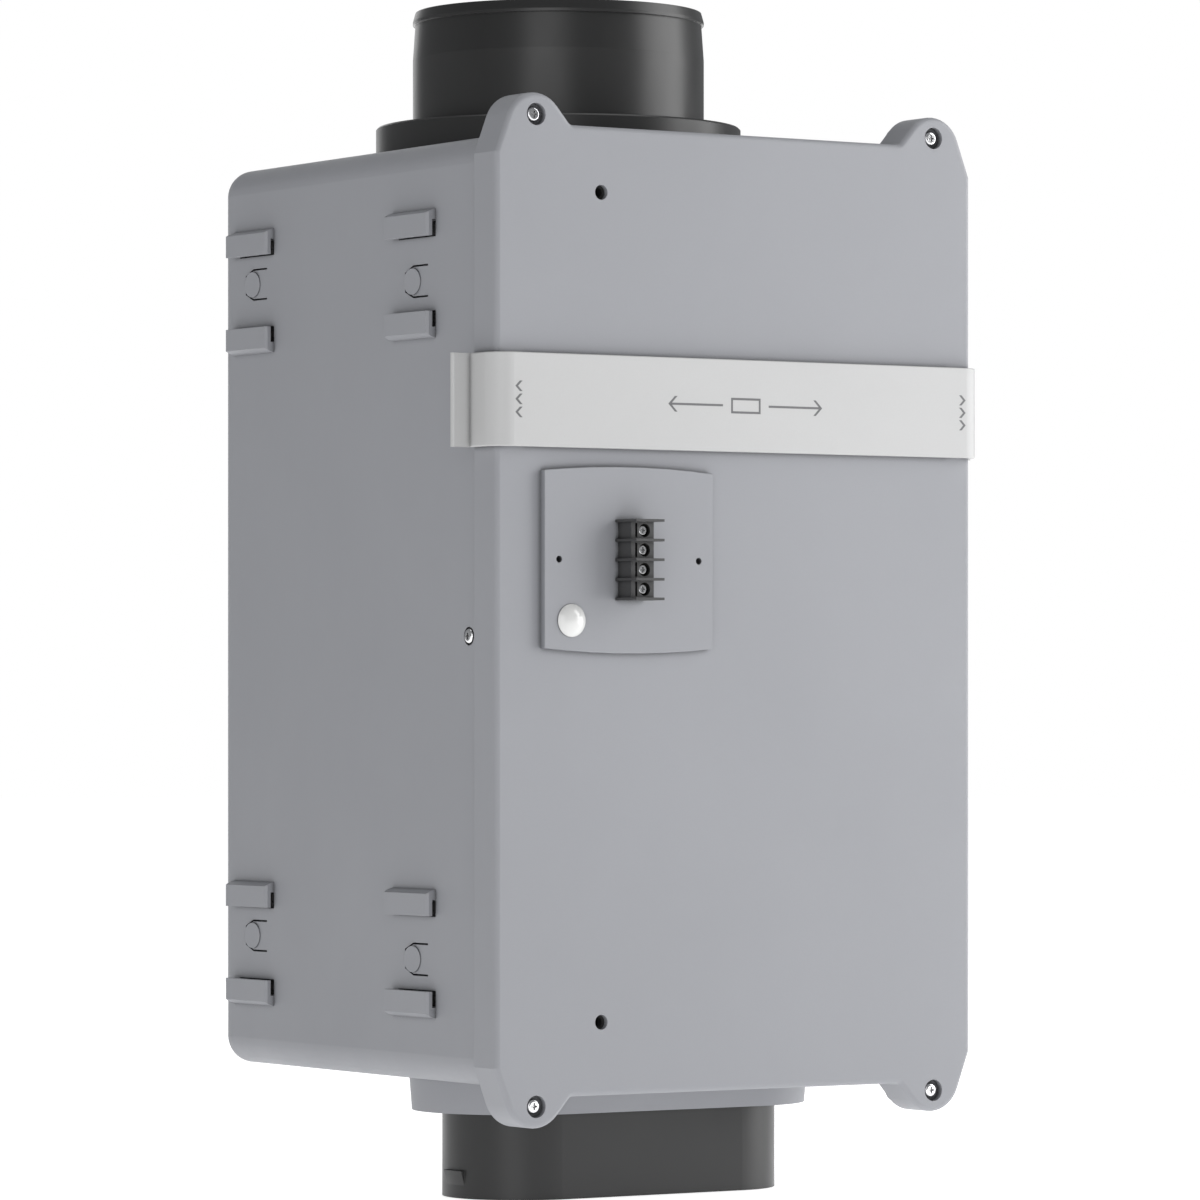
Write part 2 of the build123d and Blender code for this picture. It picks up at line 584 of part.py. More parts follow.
def make_threaded_inserts():
    """Four brass inserts in the casing's lugs."""
    inserts = []
    for sx, sz in corners():
        z = Z_MID + sz * SCREW_Z
        insert = rod_y(INSERT_RADIUS, sx * EAR_X, z, Y_SKIRT, Y_SKIRT + INSERT_LENGTH)
        bore = SCREW_RADIUS + SHAFT_CLEARANCE
        insert -= rod_y(bore, sx * EAR_X, z, Y_SKIRT - 1, Y_SKIRT + INSERT_LENGTH + 1)
        inserts.append(insert)
    return Compound(children=inserts)


def make_side_screws():
    """One screw in each side of the casing."""
    screws = []
    for sx in (-1, 1):
        x = sx * (casing_half_width(SIDE_SCREW_Y) - SIDE_RECESS_DEPTH)
        place = Pos(x, Y_FRONT + SIDE_SCREW_Y, Z_EDGE + SIDE_SCREW_HEIGHT)
        screws.append(place * Rot(0, sx * 90, 0) * pan_screw(SIDE_SCREW_LENGTH))
    return Compound(children=screws)


# ---------------------------------------------------------------- access cover and filter
def strap_plan(inset):
    """Plan of the access cover's outer or inner face, open towards the back."""
    half = HALF_WIDTH + SLIDE_CLEARANCE + STRAP_WALL - inset
    front = Y_FRONT - STRAP_STANDOFF - STRAP_WALL + inset
    back = Y_FRONT + STRAP_SIDE_LENGTH + 3.0
    plan = Pos(0, (front + back) / 2) * Rectangle(2 * half, back - front)
    nose = plan.vertices().group_by(Axis.Y)[0]
    return fillet(nose, STRAP_CORNER_RADIUS - inset)


def make_access_cover():
    """U-shaped cover over the filter slot, with a pull tab at the end of each arm."""
    z0 = SLOT_Z - STRAP_HEIGHT / 2
    outer = extrude(Plane.XY.offset(z0) * strap_plan(0), STRAP_HEIGHT)
    long_edges = outer.edges().group_by(Axis.Z)
    outer = fillet(long_edges[0] + long_edges[-1], STRAP_EDGE_RADIUS)
    inner = extrude(Plane.XY.offset(z0 - 1) * strap_plan(STRAP_WALL), STRAP_HEIGHT + 2)
    cover = outer - inner
    x0 = HALF_WIDTH + SLIDE_CLEARANCE
    y0 = Y_FRONT + STRAP_SIDE_LENGTH
    cover -= Pos(0, y0 + 8.0, SLOT_Z) * Box(2 * x0, 10, STRAP_HEIGHT + 2)
    for sx in (-1, 1):
        xs = sorted((sx * (x0 + STRAP_WALL / 2), sx * (x0 + STRAP_WALL + STRAP_TAB)))
        tab = block(xs[0], xs[1], y0, y0 + STRAP_WALL, z0, z0 + STRAP_HEIGHT)
        outer_edges = tab.edges().filter_by(Axis.Z).group_by(Axis.X)[-1 if sx > 0 else 0]
        cover += fillet(outer_edges, 1.2)
    for side in (-1, 1):
        z_rib = SLOT_Z + side * (STRAP_HEIGHT / 2 - 1.0)
        rib = Box(2 * HALF_WIDTH - 30, STRAP_STANDOFF - 0.7, 1.6)
        cover += Pos(0, Y_FRONT - STRAP_STANDOFF / 2 - 0.35, z_rib) * rib
    return cover


def make_access_cover_seal():
    """Foam ring inside the access cover, around the filter slot."""
    depth = STRAP_STANDOFF - FIT_CLEARANCE
    ring = Box(SLOT_WIDTH + 10, depth, SLOT_HEIGHT + 8) - Box(SLOT_WIDTH + 3, depth + 2, SLOT_HEIGHT + 2.5)
    return Pos(0, Y_FRONT - STRAP_STANDOFF + depth / 2, SLOT_Z) * ring


def make_filter_frame():
    """Rectangular cassette frame with cross bars above and below the pleats."""
    frame = Box(FILTER_WIDTH, FILTER_DEPTH, FILTER_THICKNESS)
    frame -= Box(FILTER_WIDTH - 2 * FILTER_WALL, FILTER_DEPTH - 2 * FILTER_WALL, FILTER_THICKNESS + 2)
    for side in (-1, 1):
        z = side * (FILTER_THICKNESS - FILTER_WALL / 2) / 2
        frame += Pos(0, 0, z) * Box(FILTER_WIDTH, FILTER_WALL, FILTER_WALL / 2)
        frame += Pos(0, 0, z) * Box(FILTER_WALL, FILTER_DEPTH, FILTER_WALL / 2)
    return Pos(0, Y_FRONT + 2 + FILTER_DEPTH / 2, SLOT_Z) * frame


def make_filter_media():
    """Pleated sheet across the cassette."""
    inner_width = FILTER_WIDTH - 2 * FILTER_WALL
    inner_depth = FILTER_DEPTH - 2 * FILTER_WALL
    rise = FILTER_THICKNESS / 2 - FILTER_WALL / 2 - MEDIA_THICKNESS
    half_pitch = inner_width / (2 * FILTER_PLEATS)
    lower = []
    upper = []
    for i in range(2 * FILTER_PLEATS + 1):
        x = -inner_width / 2 + i * half_pitch
        z = rise if i % 2 else -rise
        lower.append((x, z - MEDIA_THICKNESS))
        upper.append((x, z + MEDIA_THICKNESS))
    outline = make_face(Polyline(*lower, *reversed(upper), close=True))
    y_mid = Y_FRONT + 2 + FILTER_DEPTH / 2
    return extrude(front_plane(y_mid, SLOT_Z) * outline, inner_depth / 2, both=True)


def make_filter_pull_tab():
    """Finger loop on the cassette's front."""
    tab = Box(36, 2, 12) - Box(24, 4, 5)
    return Pos(0, Y_FRONT + 1, SLOT_Z) * tab


# ---------------------------------------------------------------- wiring pad fittings
def pole_heights():
    """Height of each terminal."""
    return [PAD_Z + (i - (POLES - 1) / 2) * POLE_PITCH for i in range(POLES)]


def make_terminal_block():
    """Barrier strip: a body with round screw pockets and a fin on each side of every pole."""
    reach = POLES * POLE_PITCH / 2
    half = TERMINAL_BODY_WIDTH / 2
    face = PAD_FACE - TERMINAL_BODY_DEPTH
    body = block(PAD_CENTRE_X - half, PAD_CENTRE_X + half, face, PAD_FACE, PAD_Z - reach, PAD_Z + reach)
    for i in range(POLES + 1):
        z = PAD_Z - reach + i * POLE_PITCH
        fin = Pos(PAD_CENTRE_X, PAD_FACE - FIN_DEPTH / 2, z) * Box(FIN_WIDTH, FIN_DEPTH, FIN_THICKNESS)
        body += fin
    for z in pole_heights():
        body -= rod_y(TERMINAL_POCKET_RADIUS, TERMINAL_X, z, face - 1, face + TERMINAL_POCKET_DEPTH)
        slit_height = POLE_PITCH - 2 * FIN_THICKNESS
        body -= Pos(PAD_CENTRE_X + SLIT_X, face, z) * Box(SLIT_WIDTH, 2 * SLIT_DEPTH, slit_height)
        body -= rod_y(TERMINAL_PIN_RADIUS, TERMINAL_X, z, face, PAD_FACE + 1)
    return body


def make_terminal_plates():
    """Clamp plate and tail pin of each terminal."""
    seat = PAD_FACE - TERMINAL_BODY_DEPTH + TERMINAL_POCKET_DEPTH
    plates = []
    for z in pole_heights():
        plate = rod_y(TERMINAL_POCKET_RADIUS - 0.1, TERMINAL_X, z, seat - 0.8, seat)
        plate += rod_y(TERMINAL_PIN_RADIUS, TERMINAL_X, z, seat - 0.4, Y_FRONT + BOARD_FRONT + 2.6)
        plates.append(plate)
    return Compound(children=plates)


def make_terminal_screws():
    """Clamp screw of each terminal, backed out a little."""
    seat = PAD_FACE - TERMINAL_BODY_DEPTH + TERMINAL_POCKET_DEPTH - 0.8
    screws = []
    for z in pole_heights():
        head = Cylinder(2.7, 1.9, align=(Align.CENTER, Align.CENTER, Align.MIN))
        head = fillet(head.edges().sort_by(Axis.Z)[-1], 0.8)
        head -= Pos(0, 0, 1.9) * scale(cross_recess(1.1), 0.8)
        screws.append(Pos(TERMINAL_X, seat, z) * Rot(90, 0, 0) * head)
    return Compound(children=screws)


def make_entry_plug():
    """Push-in plug of the cable entry: a domed head, a hollow stem and a snap ring."""
    z = Z_EDGE + ENTRY_HEIGHT
    ball = (PLUG_HEAD_RADIUS ** 2 + PLUG_DOME_HEIGHT ** 2) / (2 * PLUG_DOME_HEIGHT)
    dome = Pos(ENTRY_X, PAD_FACE - FIT_CLEARANCE - PLUG_DOME_HEIGHT + ball, z) * Sphere(ball)
    dome &= rod_y(PLUG_HEAD_RADIUS, ENTRY_X, z, PAD_FACE - 20, PAD_FACE - FIT_CLEARANCE)
    stem_radius = ENTRY_HOLE_RADIUS - FIT_CLEARANCE
    stem_end = Y_FRONT + COVER_WALL + 2.5
    stem = rod_y(stem_radius, ENTRY_X, z, PAD_FACE - 1, stem_end)
    stem -= rod_y(stem_radius - 1.4, ENTRY_X, z, PAD_FACE + 1, stem_end + 1)
    return dome + stem


def make_test_port_tubes():
    """Tubes behind the two test ports, into the liner's air chambers."""
    tubes = []
    for height in PORT_HEIGHTS:
        y0 = Y_FRONT + COVER_WALL
        tube = rod_y(PORT_RADIUS + 1.8, PORT_X, Z_EDGE + height, y0, Y_FRONT + LINER_FRONT + 8)
        tube -= rod_y(PORT_RADIUS - 1.2, PORT_X, Z_EDGE + height, y0 - 1, Y_FRONT + LINER_FRONT + 9)
        tubes.append(tube)
    return Compound(children=tubes)


# ---------------------------------------------------------------- spigots
def flange_screw_places():
    """Centres of the round flange's screws."""
    places = []
    for i in range(FLANGE_SCREWS):
        angle = math.radians(45 + i * 360 / FLANGE_SCREWS)
        x = FLANGE_SCREW_CIRCLE * math.cos(angle)
        y = Y_FRONT + SPIGOT_Y + FLANGE_SCREW_CIRCLE * math.sin(angle)
        places.append((x, y))
    return places


def make_top_spigot():
    """Round duct spigot: flange, straight tube, shallow taper and a barbed rim."""
    bore = DUCT_RADIUS - SPIGOT_WALL
    barb_base = FLANGE_TOP + STRAIGHT_LENGTH + TAPER_LENGTH
    neck_base = Z_TOP - 12.0
    waist = DUCT_RADIUS - TAPER_DROP
    points = [(bore, neck_base), (DUCT_RADIUS, neck_base), (DUCT_RADIUS, FLANGE_BASE),
              (FLANGE_RADIUS, FLANGE_BASE),
              (FLANGE_RADIUS, FLANGE_TOP - 1.0), (FLANGE_RADIUS - 1.0, FLANGE_TOP), (DUCT_RADIUS, FLANGE_TOP),
              (DUCT_RADIUS, FLANGE_TOP + STRAIGHT_LENGTH), (waist, barb_base), (DUCT_RADIUS, barb_base),
              (DUCT_RADIUS, barb_base + 1.6), (waist, barb_base + BARB_HEIGHT),
              (bore, barb_base + BARB_HEIGHT)]
    plane = Plane(origin=(0, Y_FRONT + SPIGOT_Y, 0), x_dir=(1, 0, 0), z_dir=(0, -1, 0))
    outline = plane * make_face(Polyline(*points, close=True))
    spigot = revolve(outline, Axis((0, Y_FRONT + SPIGOT_Y, 0), (0, 0, 1)))
    for x, y in flange_screw_places():
        spigot -= rod_z(1.9, x, y, FLANGE_BASE - 1, FLANGE_TOP + 1)
        spigot -= Pos(x, y, FLANGE_TOP) * Cone(1.9, 3.9, 2.0, align=(Align.CENTER, Align.CENTER, Align.MAX))
    return spigot


def make_top_spigot_screws():
    """Countersunk screws of the round flange."""
    length = FLANGE_THICKNESS + FLANGE_SCREW_BITE - FIT_CLEARANCE
    screw = countersunk_screw(length, FLANGE_SCREW_RADIUS, 3.4)
    return Compound(children=[Pos(x, y, FLANGE_TOP - 0.2) * screw for x, y in flange_screw_places()])


def oval_screw_places():
    """Centres of the oval flange's screws."""
    x = OVAL_HALF_WIDTH - OVAL_RADIUS
    y = OVAL_RADIUS + OVAL_FLANGE_WIDTH / 2
    return [(sx * x, Y_FRONT + OVAL_Y + sy * y) for sx in (-1, 1) for sy in (-1, 1)]


def make_bottom_spigot():
    """Oval duct spigot held by a flange inside the collar, with a snap tooth at each end."""
    y = Y_FRONT + OVAL_Y
    flange_base = Z_EDGE - COLLAR_DROP + CASING_WALL + OVAL_GASKET_THICKNESS
    flange_top = flange_base + OVAL_FLANGE_THICKNESS
    spigot = stadium(OVAL_HALF_WIDTH, OVAL_RADIUS, 0, flange_top + 4, y)
    spigot += stadium(OVAL_HALF_WIDTH + OVAL_FLANGE_WIDTH, OVAL_RADIUS + OVAL_FLANGE_WIDTH,
                      flange_base, flange_top, y)
    spigot -= stadium(OVAL_HALF_WIDTH - OVAL_WALL, OVAL_RADIUS - OVAL_WALL, -1, flange_top + 5, y)
    for sx in (-1, 1):
        spigot += arc_tooth(sx, y)
    for x, y_hole in oval_screw_places():
        spigot -= rod_z(1.5, x, y_hole, flange_base - 1, flange_top + 1)
    return spigot


def arc_tooth(sx, y):
    """Ramp that follows the spigot's round end under the snap tooth."""
    centre_x = OVAL_HALF_WIDTH - OVAL_RADIUS
    hang = (Align.CENTER, Align.CENTER, Align.MAX)
    ramp = Cone(OVAL_RADIUS, OVAL_RADIUS + CATCH_PROUD, CATCH_HEIGHT, align=hang)
    ramp -= Cylinder(OVAL_RADIUS - OVAL_WALL / 2, 4 * CATCH_HEIGHT)
    reach = OVAL_RADIUS + CATCH_PROUD
    keep = Pos(sx * reach / 2, 0, 0) * Box(reach, CATCH_WIDTH, 4 * CATCH_HEIGHT)
    return Pos(sx * centre_x, y, CATCH_TOP) * (ramp & keep)


def make_bottom_spigot_gasket():
    """Flat gasket between the oval flange and the collar's floor."""
    y = Y_FRONT + OVAL_Y
    z0 = Z_EDGE - COLLAR_DROP + CASING_WALL
    z1 = z0 + OVAL_GASKET_THICKNESS
    gasket = stadium(OVAL_HALF_WIDTH + OVAL_FLANGE_WIDTH, OVAL_RADIUS + OVAL_FLANGE_WIDTH, z0, z1, y)
    gasket -= stadium(OVAL_HALF_WIDTH + FIT_CLEARANCE, OVAL_RADIUS + FIT_CLEARANCE, z0 - 1, z1 + 1, y)
    for x, y_hole in oval_screw_places():
        gasket -= rod_z(1.5, x, y_hole, z0 - 1, z1 + 1)
    return gasket


def make_bottom_spigot_screws():
    """Screws that hold the oval flange down."""
    top = Z_EDGE - COLLAR_DROP + CASING_WALL + OVAL_GASKET_THICKNESS + OVAL_FLANGE_THICKNESS
    length = OVAL_FLANGE_THICKNESS + OVAL_GASKET_THICKNESS + 2.0
    screws = [Pos(x, y, top) * pan_screw(length, 1.3, 2.6, 1.6) for x, y in oval_screw_places()]
    return Compound(children=screws)


# ---------------------------------------------------------------- foam liner, core and fan
def liner_block(z0, z1):
    """Slice of the casing's cavity between two heights above the cover's lower edge."""
    body = drafted(CASING_WALL + LINER_CLEARANCE, LINER_FRONT, UNIT_DEPTH - CASING_WALL - LINER_CLEARANCE,
                   CASING_RADIUS - CASING_WALL)
    width = COVER_WIDTH + 10
    return body & block(-width, width, Y_FRONT, Y_BACK, Z_EDGE + z0, Z_EDGE + z1)


def chamber(z0, z1):
    """Air chamber around the core's axis, its upright edges rounded."""
    body = Pos(0, FAN_Y, Z_EDGE + (z0 + z1) / 2) * Box(CHAMBER_WIDTH, CHAMBER_DEPTH, z1 - z0)
    return fillet(body.edges().filter_by(Axis.Z), CHAMBER_RADIUS)


def make_liner_top():
    """Upper liner: round throat, upper chamber and the filter's slot."""
    body = liner_block(LINER_JOINT_HIGH, COVER_HEIGHT)
    slot_height = SLOT_Z - Z_EDGE
    roof = COVER_HEIGHT - 42.0
    body -= chamber(slot_height, roof)
    body -= rod_z(DUCT_RADIUS + FIT_CLEARANCE, 0, Y_FRONT + SPIGOT_Y, Z_EDGE + roof - 1, Z_TOP + 10)
    slot_depth = FILTER_DEPTH + 2 + SLIDE_CLEARANCE
    body -= Pos(0, Y_FRONT + slot_depth / 2, SLOT_Z) * Box(SLOT_WIDTH, slot_depth, SLOT_HEIGHT)
    throat = CORE_SIDE - 4
    body -= Pos(0, FAN_Y, Z_EDGE + LINER_JOINT_HIGH + 10) * Box(throat, throat, 40)
    body -= port_passage(PORT_HEIGHTS[1])
    body -= probe_rod(PROBE_RADIUS + SHAFT_CLEARANCE, PROBE_HEIGHTS[1], 2.0)
    return body


def port_passage(height):
    """Hole from the liner's front into the chamber, for a test port's tube."""
    return rod_y(PORT_RADIUS + 2.0, PORT_X, Z_EDGE + height, Y_FRONT, FAN_Y - CHAMBER_DEPTH / 2 + 2)


def make_liner_middle():
    """Middle liner: square well for the core, with a ledge under its grid."""
    body = liner_block(LINER_JOINT_LOW, LINER_JOINT_HIGH)
    well = CORE_SIDE + 2 * SLEEVE_THICKNESS + 2 * FIT_CLEARANCE
    ledge = CORE_SIDE - 8
    z_ledge = Z_EDGE + LINER_JOINT_LOW + LINER_LEDGE
    body -= Pos(0, FAN_Y, z_ledge + 100) * Box(well, well, 200)
    body -= Pos(0, FAN_Y, z_ledge) * Box(ledge, ledge, 4 * LINER_LEDGE)
    reach = SIDE_BOSS_RADIUS + LINER_CLEARANCE
    z = Z_EDGE + SIDE_SCREW_HEIGHT
    inner_x = casing_half_width(SIDE_SCREW_Y) - SIDE_BOSS_DEPTH - SLIDE_CLEARANCE
    for sx in (-1, 1):
        x0, x1 = sorted((sx * inner_x, sx * HALF_WIDTH))
        body -= block(x0, x1, Y_FRONT, Y_FRONT + SIDE_SCREW_Y + reach, z - reach, z + reach)
    return body


def make_liner_bottom():
    """Lower liner: seat for the fan, lower chamber and the oval throat."""
    body = liner_block(0, LINER_JOINT_LOW)
    seat = FAN_BORE_RADIUS + FAN_WALL + FIT_CLEARANCE
    floor = 26.0
    body -= rod_z(seat, 0, FAN_Y, Z_EDGE + FAN_BASE, Z_EDGE + LINER_JOINT_LOW + 1)
    for angle in fan_ear_angles():
        x, y = fan_ear_place(angle)
        z0 = Z_EDGE + FAN_BASE - 1.0
        body -= rod_z(FAN_EAR_RADIUS + FIT_CLEARANCE, x, y, z0, Z_EDGE + LINER_JOINT_LOW + 1)
    body -= rod_z(FAN_BORE_RADIUS, 0, FAN_Y, Z_EDGE + FAN_BASE - 20, Z_EDGE + FAN_BASE + 1)
    body -= chamber(floor, FAN_BASE - 10)
    body -= stadium(OVAL_HALF_WIDTH + 1, OVAL_RADIUS + 1, 0, Z_EDGE + floor + 10, Y_FRONT + OVAL_Y)
    body -= port_passage(PORT_HEIGHTS[0])
    body -= probe_rod(PROBE_RADIUS + SHAFT_CLEARANCE, PROBE_HEIGHTS[0], 2.0)
    channel = LEAD_RADIUS + 1.0
    body -= block(LEAD_X - channel, LEAD_X + channel, Y_FRONT, FAN_Y,
                  LEAD_Z - channel, Z_EDGE + LINER_JOINT_LOW + 1)
    return body


def make_core_blocks():
    """Ceramic regenerator in four bricks."""
    half = CORE_SIDE / 2
    brick = half - 0.5
    bricks = []
    for sx in (-1, 1):
        for sy in (-1, 1):
            place = Pos(sx * half / 2, FAN_Y + sy * half / 2, CORE_BASE + CORE_HEIGHT / 2)
            bricks.append(place * Box(brick, brick, CORE_HEIGHT))
    return Compound(children=bricks)


def make_core_sleeve():
    """Felt sleeve around the bricks."""
    outer = CORE_SIDE + 2 * SLEEVE_THICKNESS
    sleeve = Box(outer, outer, CORE_HEIGHT) - Box(CORE_SIDE, CORE_SIDE, CORE_HEIGHT + 2)
    return Pos(0, FAN_Y, CORE_BASE + CORE_HEIGHT / 2) * sleeve


def make_core_grid():
    """Grid that carries the bricks."""
    side = CORE_SIDE + 2 * SLEEVE_THICKNESS
    opening = CORE_SIDE - 8
    grid = Box(side, side, GRID_HEIGHT) - Box(opening, opening, GRID_HEIGHT + 2)
    for i in range(GRID_BARS):
        offset = (i - (GRID_BARS - 1) / 2) * opening / GRID_BARS
        grid += Pos(offset, 0, 0) * Box(GRID_BAR, opening + 2, GRID_HEIGHT)
        grid += Pos(0, offset, 0) * Box(opening + 2, GRID_BAR, GRID_HEIGHT)
    return Pos(0, FAN_Y, CORE_BASE - GRID_HEIGHT / 2) * grid


def make_core_retainer():
    """Frame pressed over the bricks under the filter."""
    side = CORE_SIDE + 2 * SLEEVE_THICKNESS
    opening = CORE_SIDE - 10
    frame = Box(side, side, 4) - Box(opening, opening, 6)
    frame += Box(GRID_BAR, opening + 2, 4) + Box(opening + 2, GRID_BAR, 4)
    return Pos(0, FAN_Y, CORE_BASE + CORE_HEIGHT + 2) * frame


def fan_ear_angles():
    """Directions of the fan's four fixing ears."""
    return [45 + 90 * i for i in range(4)]


def fan_ear_place(angle):
    """Centre of one fixing ear."""
    radius = FAN_BORE_RADIUS + FAN_WALL + FAN_EAR_RADIUS - 1.0
    return radius * math.cos(math.radians(angle)), FAN_Y + radius * math.sin(math.radians(angle))


def make_fan_frame():
    """Fan ring with fixing ears, and struts that carry the motor's base."""
    z0 = Z_EDGE + FAN_BASE
    z1 = z0 + FAN_HEIGHT
    frame = rod_z(FAN_BORE_RADIUS + FAN_WALL, 0, FAN_Y, z0, z1)
    for angle in fan_ear_angles():
        x, y = fan_ear_place(angle)
        frame += rod_z(FAN_EAR_RADIUS, x, y, z0, z0 + 4.0)
    frame -= rod_z(FAN_BORE_RADIUS, 0, FAN_Y, z0 - 1, z1 + 1)
    frame += rod_z(HUB_RADIUS - 2, 0, FAN_Y, z0, z0 + STRUT_HEIGHT)
    strut = Box(FAN_BORE_RADIUS + 2, STRUT_WIDTH, STRUT_HEIGHT)
    strut = Pos(FAN_BORE_RADIUS / 2, 0, STRUT_HEIGHT / 2) * strut
    for i in range(STRUTS):
        frame += Pos(0, FAN_Y, z0) * Rot(0, 0, 30 + i * 360 / STRUTS) * strut
    for angle in fan_ear_angles():
        x, y = fan_ear_place(angle)
        frame -= rod_z(2.2, x, y, z0 - 1, z0 + 6)
    return frame


def make_fan_stator():
    """Motor stator on the frame's base, bored for the bearings and the shaft."""
    z0 = Z_EDGE + FAN_BASE + STRUT_HEIGHT
    z1 = z0 + HUB_HEIGHT - 8
    stator = rod_z(HUB_RADIUS - 10, 0, FAN_Y, z0 + 3, z1)
    for i in range(6):
        pole = Pos(HUB_RADIUS - 8, 0, 0) * Box(9, 10, z1 - z0 - 4)
        stator += Pos(0, FAN_Y, (z0 + 3 + z1) / 2) * Rot(0, 0, 60 * i) * pole
    stator += rod_z(BEARING_RADIUS + 2, 0, FAN_Y, z0, z1)
    stator &= rod_z(HUB_RADIUS - 4.5, 0, FAN_Y, z0, z1)
    stator -= rod_z(SHAFT_RADIUS + 1, 0, FAN_Y, z0 - 1, z1 + 1)
    for z in (z0, z1 - BEARING_LENGTH):
        stator -= rod_z(BEARING_RADIUS, 0, FAN_Y, z, z + BEARING_LENGTH)
    return stator


def make_fan_bearings():
    """Two bearings in the stator's bore."""
    z0 = Z_EDGE + FAN_BASE + STRUT_HEIGHT
    z1 = z0 + HUB_HEIGHT - 8
    rings = []
    for z in (z0, z1 - BEARING_LENGTH):
        ring = rod_z(BEARING_RADIUS, 0, FAN_Y, z, z + BEARING_LENGTH)
        ring -= rod_z(SHAFT_RADIUS + SHAFT_CLEARANCE, 0, FAN_Y, z - 1, z + BEARING_LENGTH + 1)
        rings.append(ring)
    return Compound(children=rings)


def make_fan_shaft():
    """Shaft pressed into the hub."""
    z0 = Z_EDGE + FAN_BASE + STRUT_HEIGHT + 1
    return rod_z(SHAFT_RADIUS, 0, FAN_Y, z0, z0 + HUB_HEIGHT - 3)


def make_fan_rotor():
    """Hub cup with flat, symmetrical blades that work in both directions."""
    z0 = Z_EDGE + FAN_BASE + STRUT_HEIGHT + 1.5
    z1 = z0 + HUB_HEIGHT
    tip = FAN_BORE_RADIUS - AIR_CLEARANCE
    rotor = rod_z(HUB_RADIUS, 0, FAN_Y, z0, z1) - rod_z(HUB_RADIUS - 2.5, 0, FAN_Y, z0 - 1, z1 - 5)
    span = tip - HUB_RADIUS + 6
    chord = (HUB_HEIGHT - 4) / math.sin(math.radians(BLADE_PITCH))
    blade = Pos((HUB_RADIUS + tip) / 2, 0, 0) * Rot(BLADE_PITCH, 0, 0) * Box(span, chord, BLADE_THICKNESS)
    annulus = Cylinder(tip, HUB_HEIGHT) - Cylinder(HUB_RADIUS - 1, HUB_HEIGHT + 2)
    blade &= annulus
    for i in range(BLADES):
        rotor += Pos(0, FAN_Y, (z0 + z1) / 2) * Rot(0, 0, i * 360 / BLADES) * blade
    rotor -= rod_z(SHAFT_RADIUS, 0, FAN_Y, z0 - 1, z0 + HUB_HEIGHT - 3.5)
    return rotor


def make_fan_screws():
    """Screws that hold the fan's ears to the liner."""
    z = Z_EDGE + FAN_BASE + 4.0
    screws = []
    for angle in fan_ear_angles():
        x, y = fan_ear_place(angle)
        screws.append(Pos(x, y, z) * pan_screw(5.0, 1.8, 3.4, 2.0))
    return Compound(children=screws)


def make_fan_guard():
    """Wire guard over the fan: three rings and four spokes."""
    z = Z_EDGE + FAN_BASE + FAN_HEIGHT + GUARD_WIRE
    centre = Pos(0, FAN_Y, z)
    rings = [centre * Torus(radius, GUARD_WIRE) for radius in (26.0, 50.0, FAN_BORE_RADIUS + 1.0)]
    guard = merge(rings)
    spoke = Rot(0, 90, 0) * Cylinder(GUARD_WIRE, FAN_BORE_RADIUS - 18)
    spoke = Pos(FAN_BORE_RADIUS / 2 + 10, 0, 0) * spoke
    for i in range(4):
        guard += centre * Rot(0, 0, 90 * i) * spoke
    return guard


# ---------------------------------------------------------------- electronics
def tray_posts():
    """Centres of the four posts that carry the electronics tray."""
    reach_x = PAD_WIDTH / 2 + 9.0
    reach_z = PAD_SIDE_HEIGHT / 2 - 6.0
    return [(PAD_CENTRE_X + sx * reach_x, TRAY_Z + sz * reach_z) for sx, sz in corners()]


def make_control_tray():
    """Open tray behind the wiring pad, with standoffs and fixing ears."""
    y0 = Y_FRONT + COVER_WALL + 4.0
    y1 = y0 + TRAY_DEPTH
    half_w = TRAY_WIDTH / 2
    half_h = TRAY_HEIGHT / 2
    tray = block(TRAY_X - half_w, TRAY_X + half_w, y0, y1, TRAY_Z - half_h, TRAY_Z + half_h)
    tray -= block(TRAY_X - half_w + TRAY_WALL, TRAY_X + half_w - TRAY_WALL, y0 - 1, y1 - TRAY_WALL,
                  TRAY_Z - half_h + TRAY_WALL, TRAY_Z + half_h - TRAY_WALL)
    for x, z in tray_posts():
        ear = block(min(x - 4, TRAY_X + math.copysign(half_w - 1, x - TRAY_X)),
                    max(x + 4, TRAY_X + math.copysign(half_w - 1, x - TRAY_X)), y0, y0 + 2, z - 4, z + 4)
        tray += ear
        tray -= rod_y(1.6, x, z, y0 - 1, y0 + 3)
    board_back = Y_FRONT + BOARD_FRONT + BOARD_THICKNESS
    for x, z in board_holes():
        tray += rod_y(3.0, x, z, board_back, y1 - TRAY_WALL / 2)
        tray -= rod_y(1.2, x, z, board_back - 1, board_back + 6)
    slot = LEAD_RADIUS + 0.8
    tray -= block(LEAD_X - slot, LEAD_X + slot, socket_y() - slot, y1 + 1,
                  TRAY_Z - half_h - 1, TRAY_Z - half_h + 8)
    return tray


def board_holes():
    """Centres of the circuit board's fixing holes."""
    reach_x = TRAY_WIDTH / 2 - 6.0
    reach_z = TRAY_HEIGHT / 2 - 6.0
    return [(TRAY_X + sx * reach_x, TRAY_Z + sz * reach_z) for sx, sz in corners()]


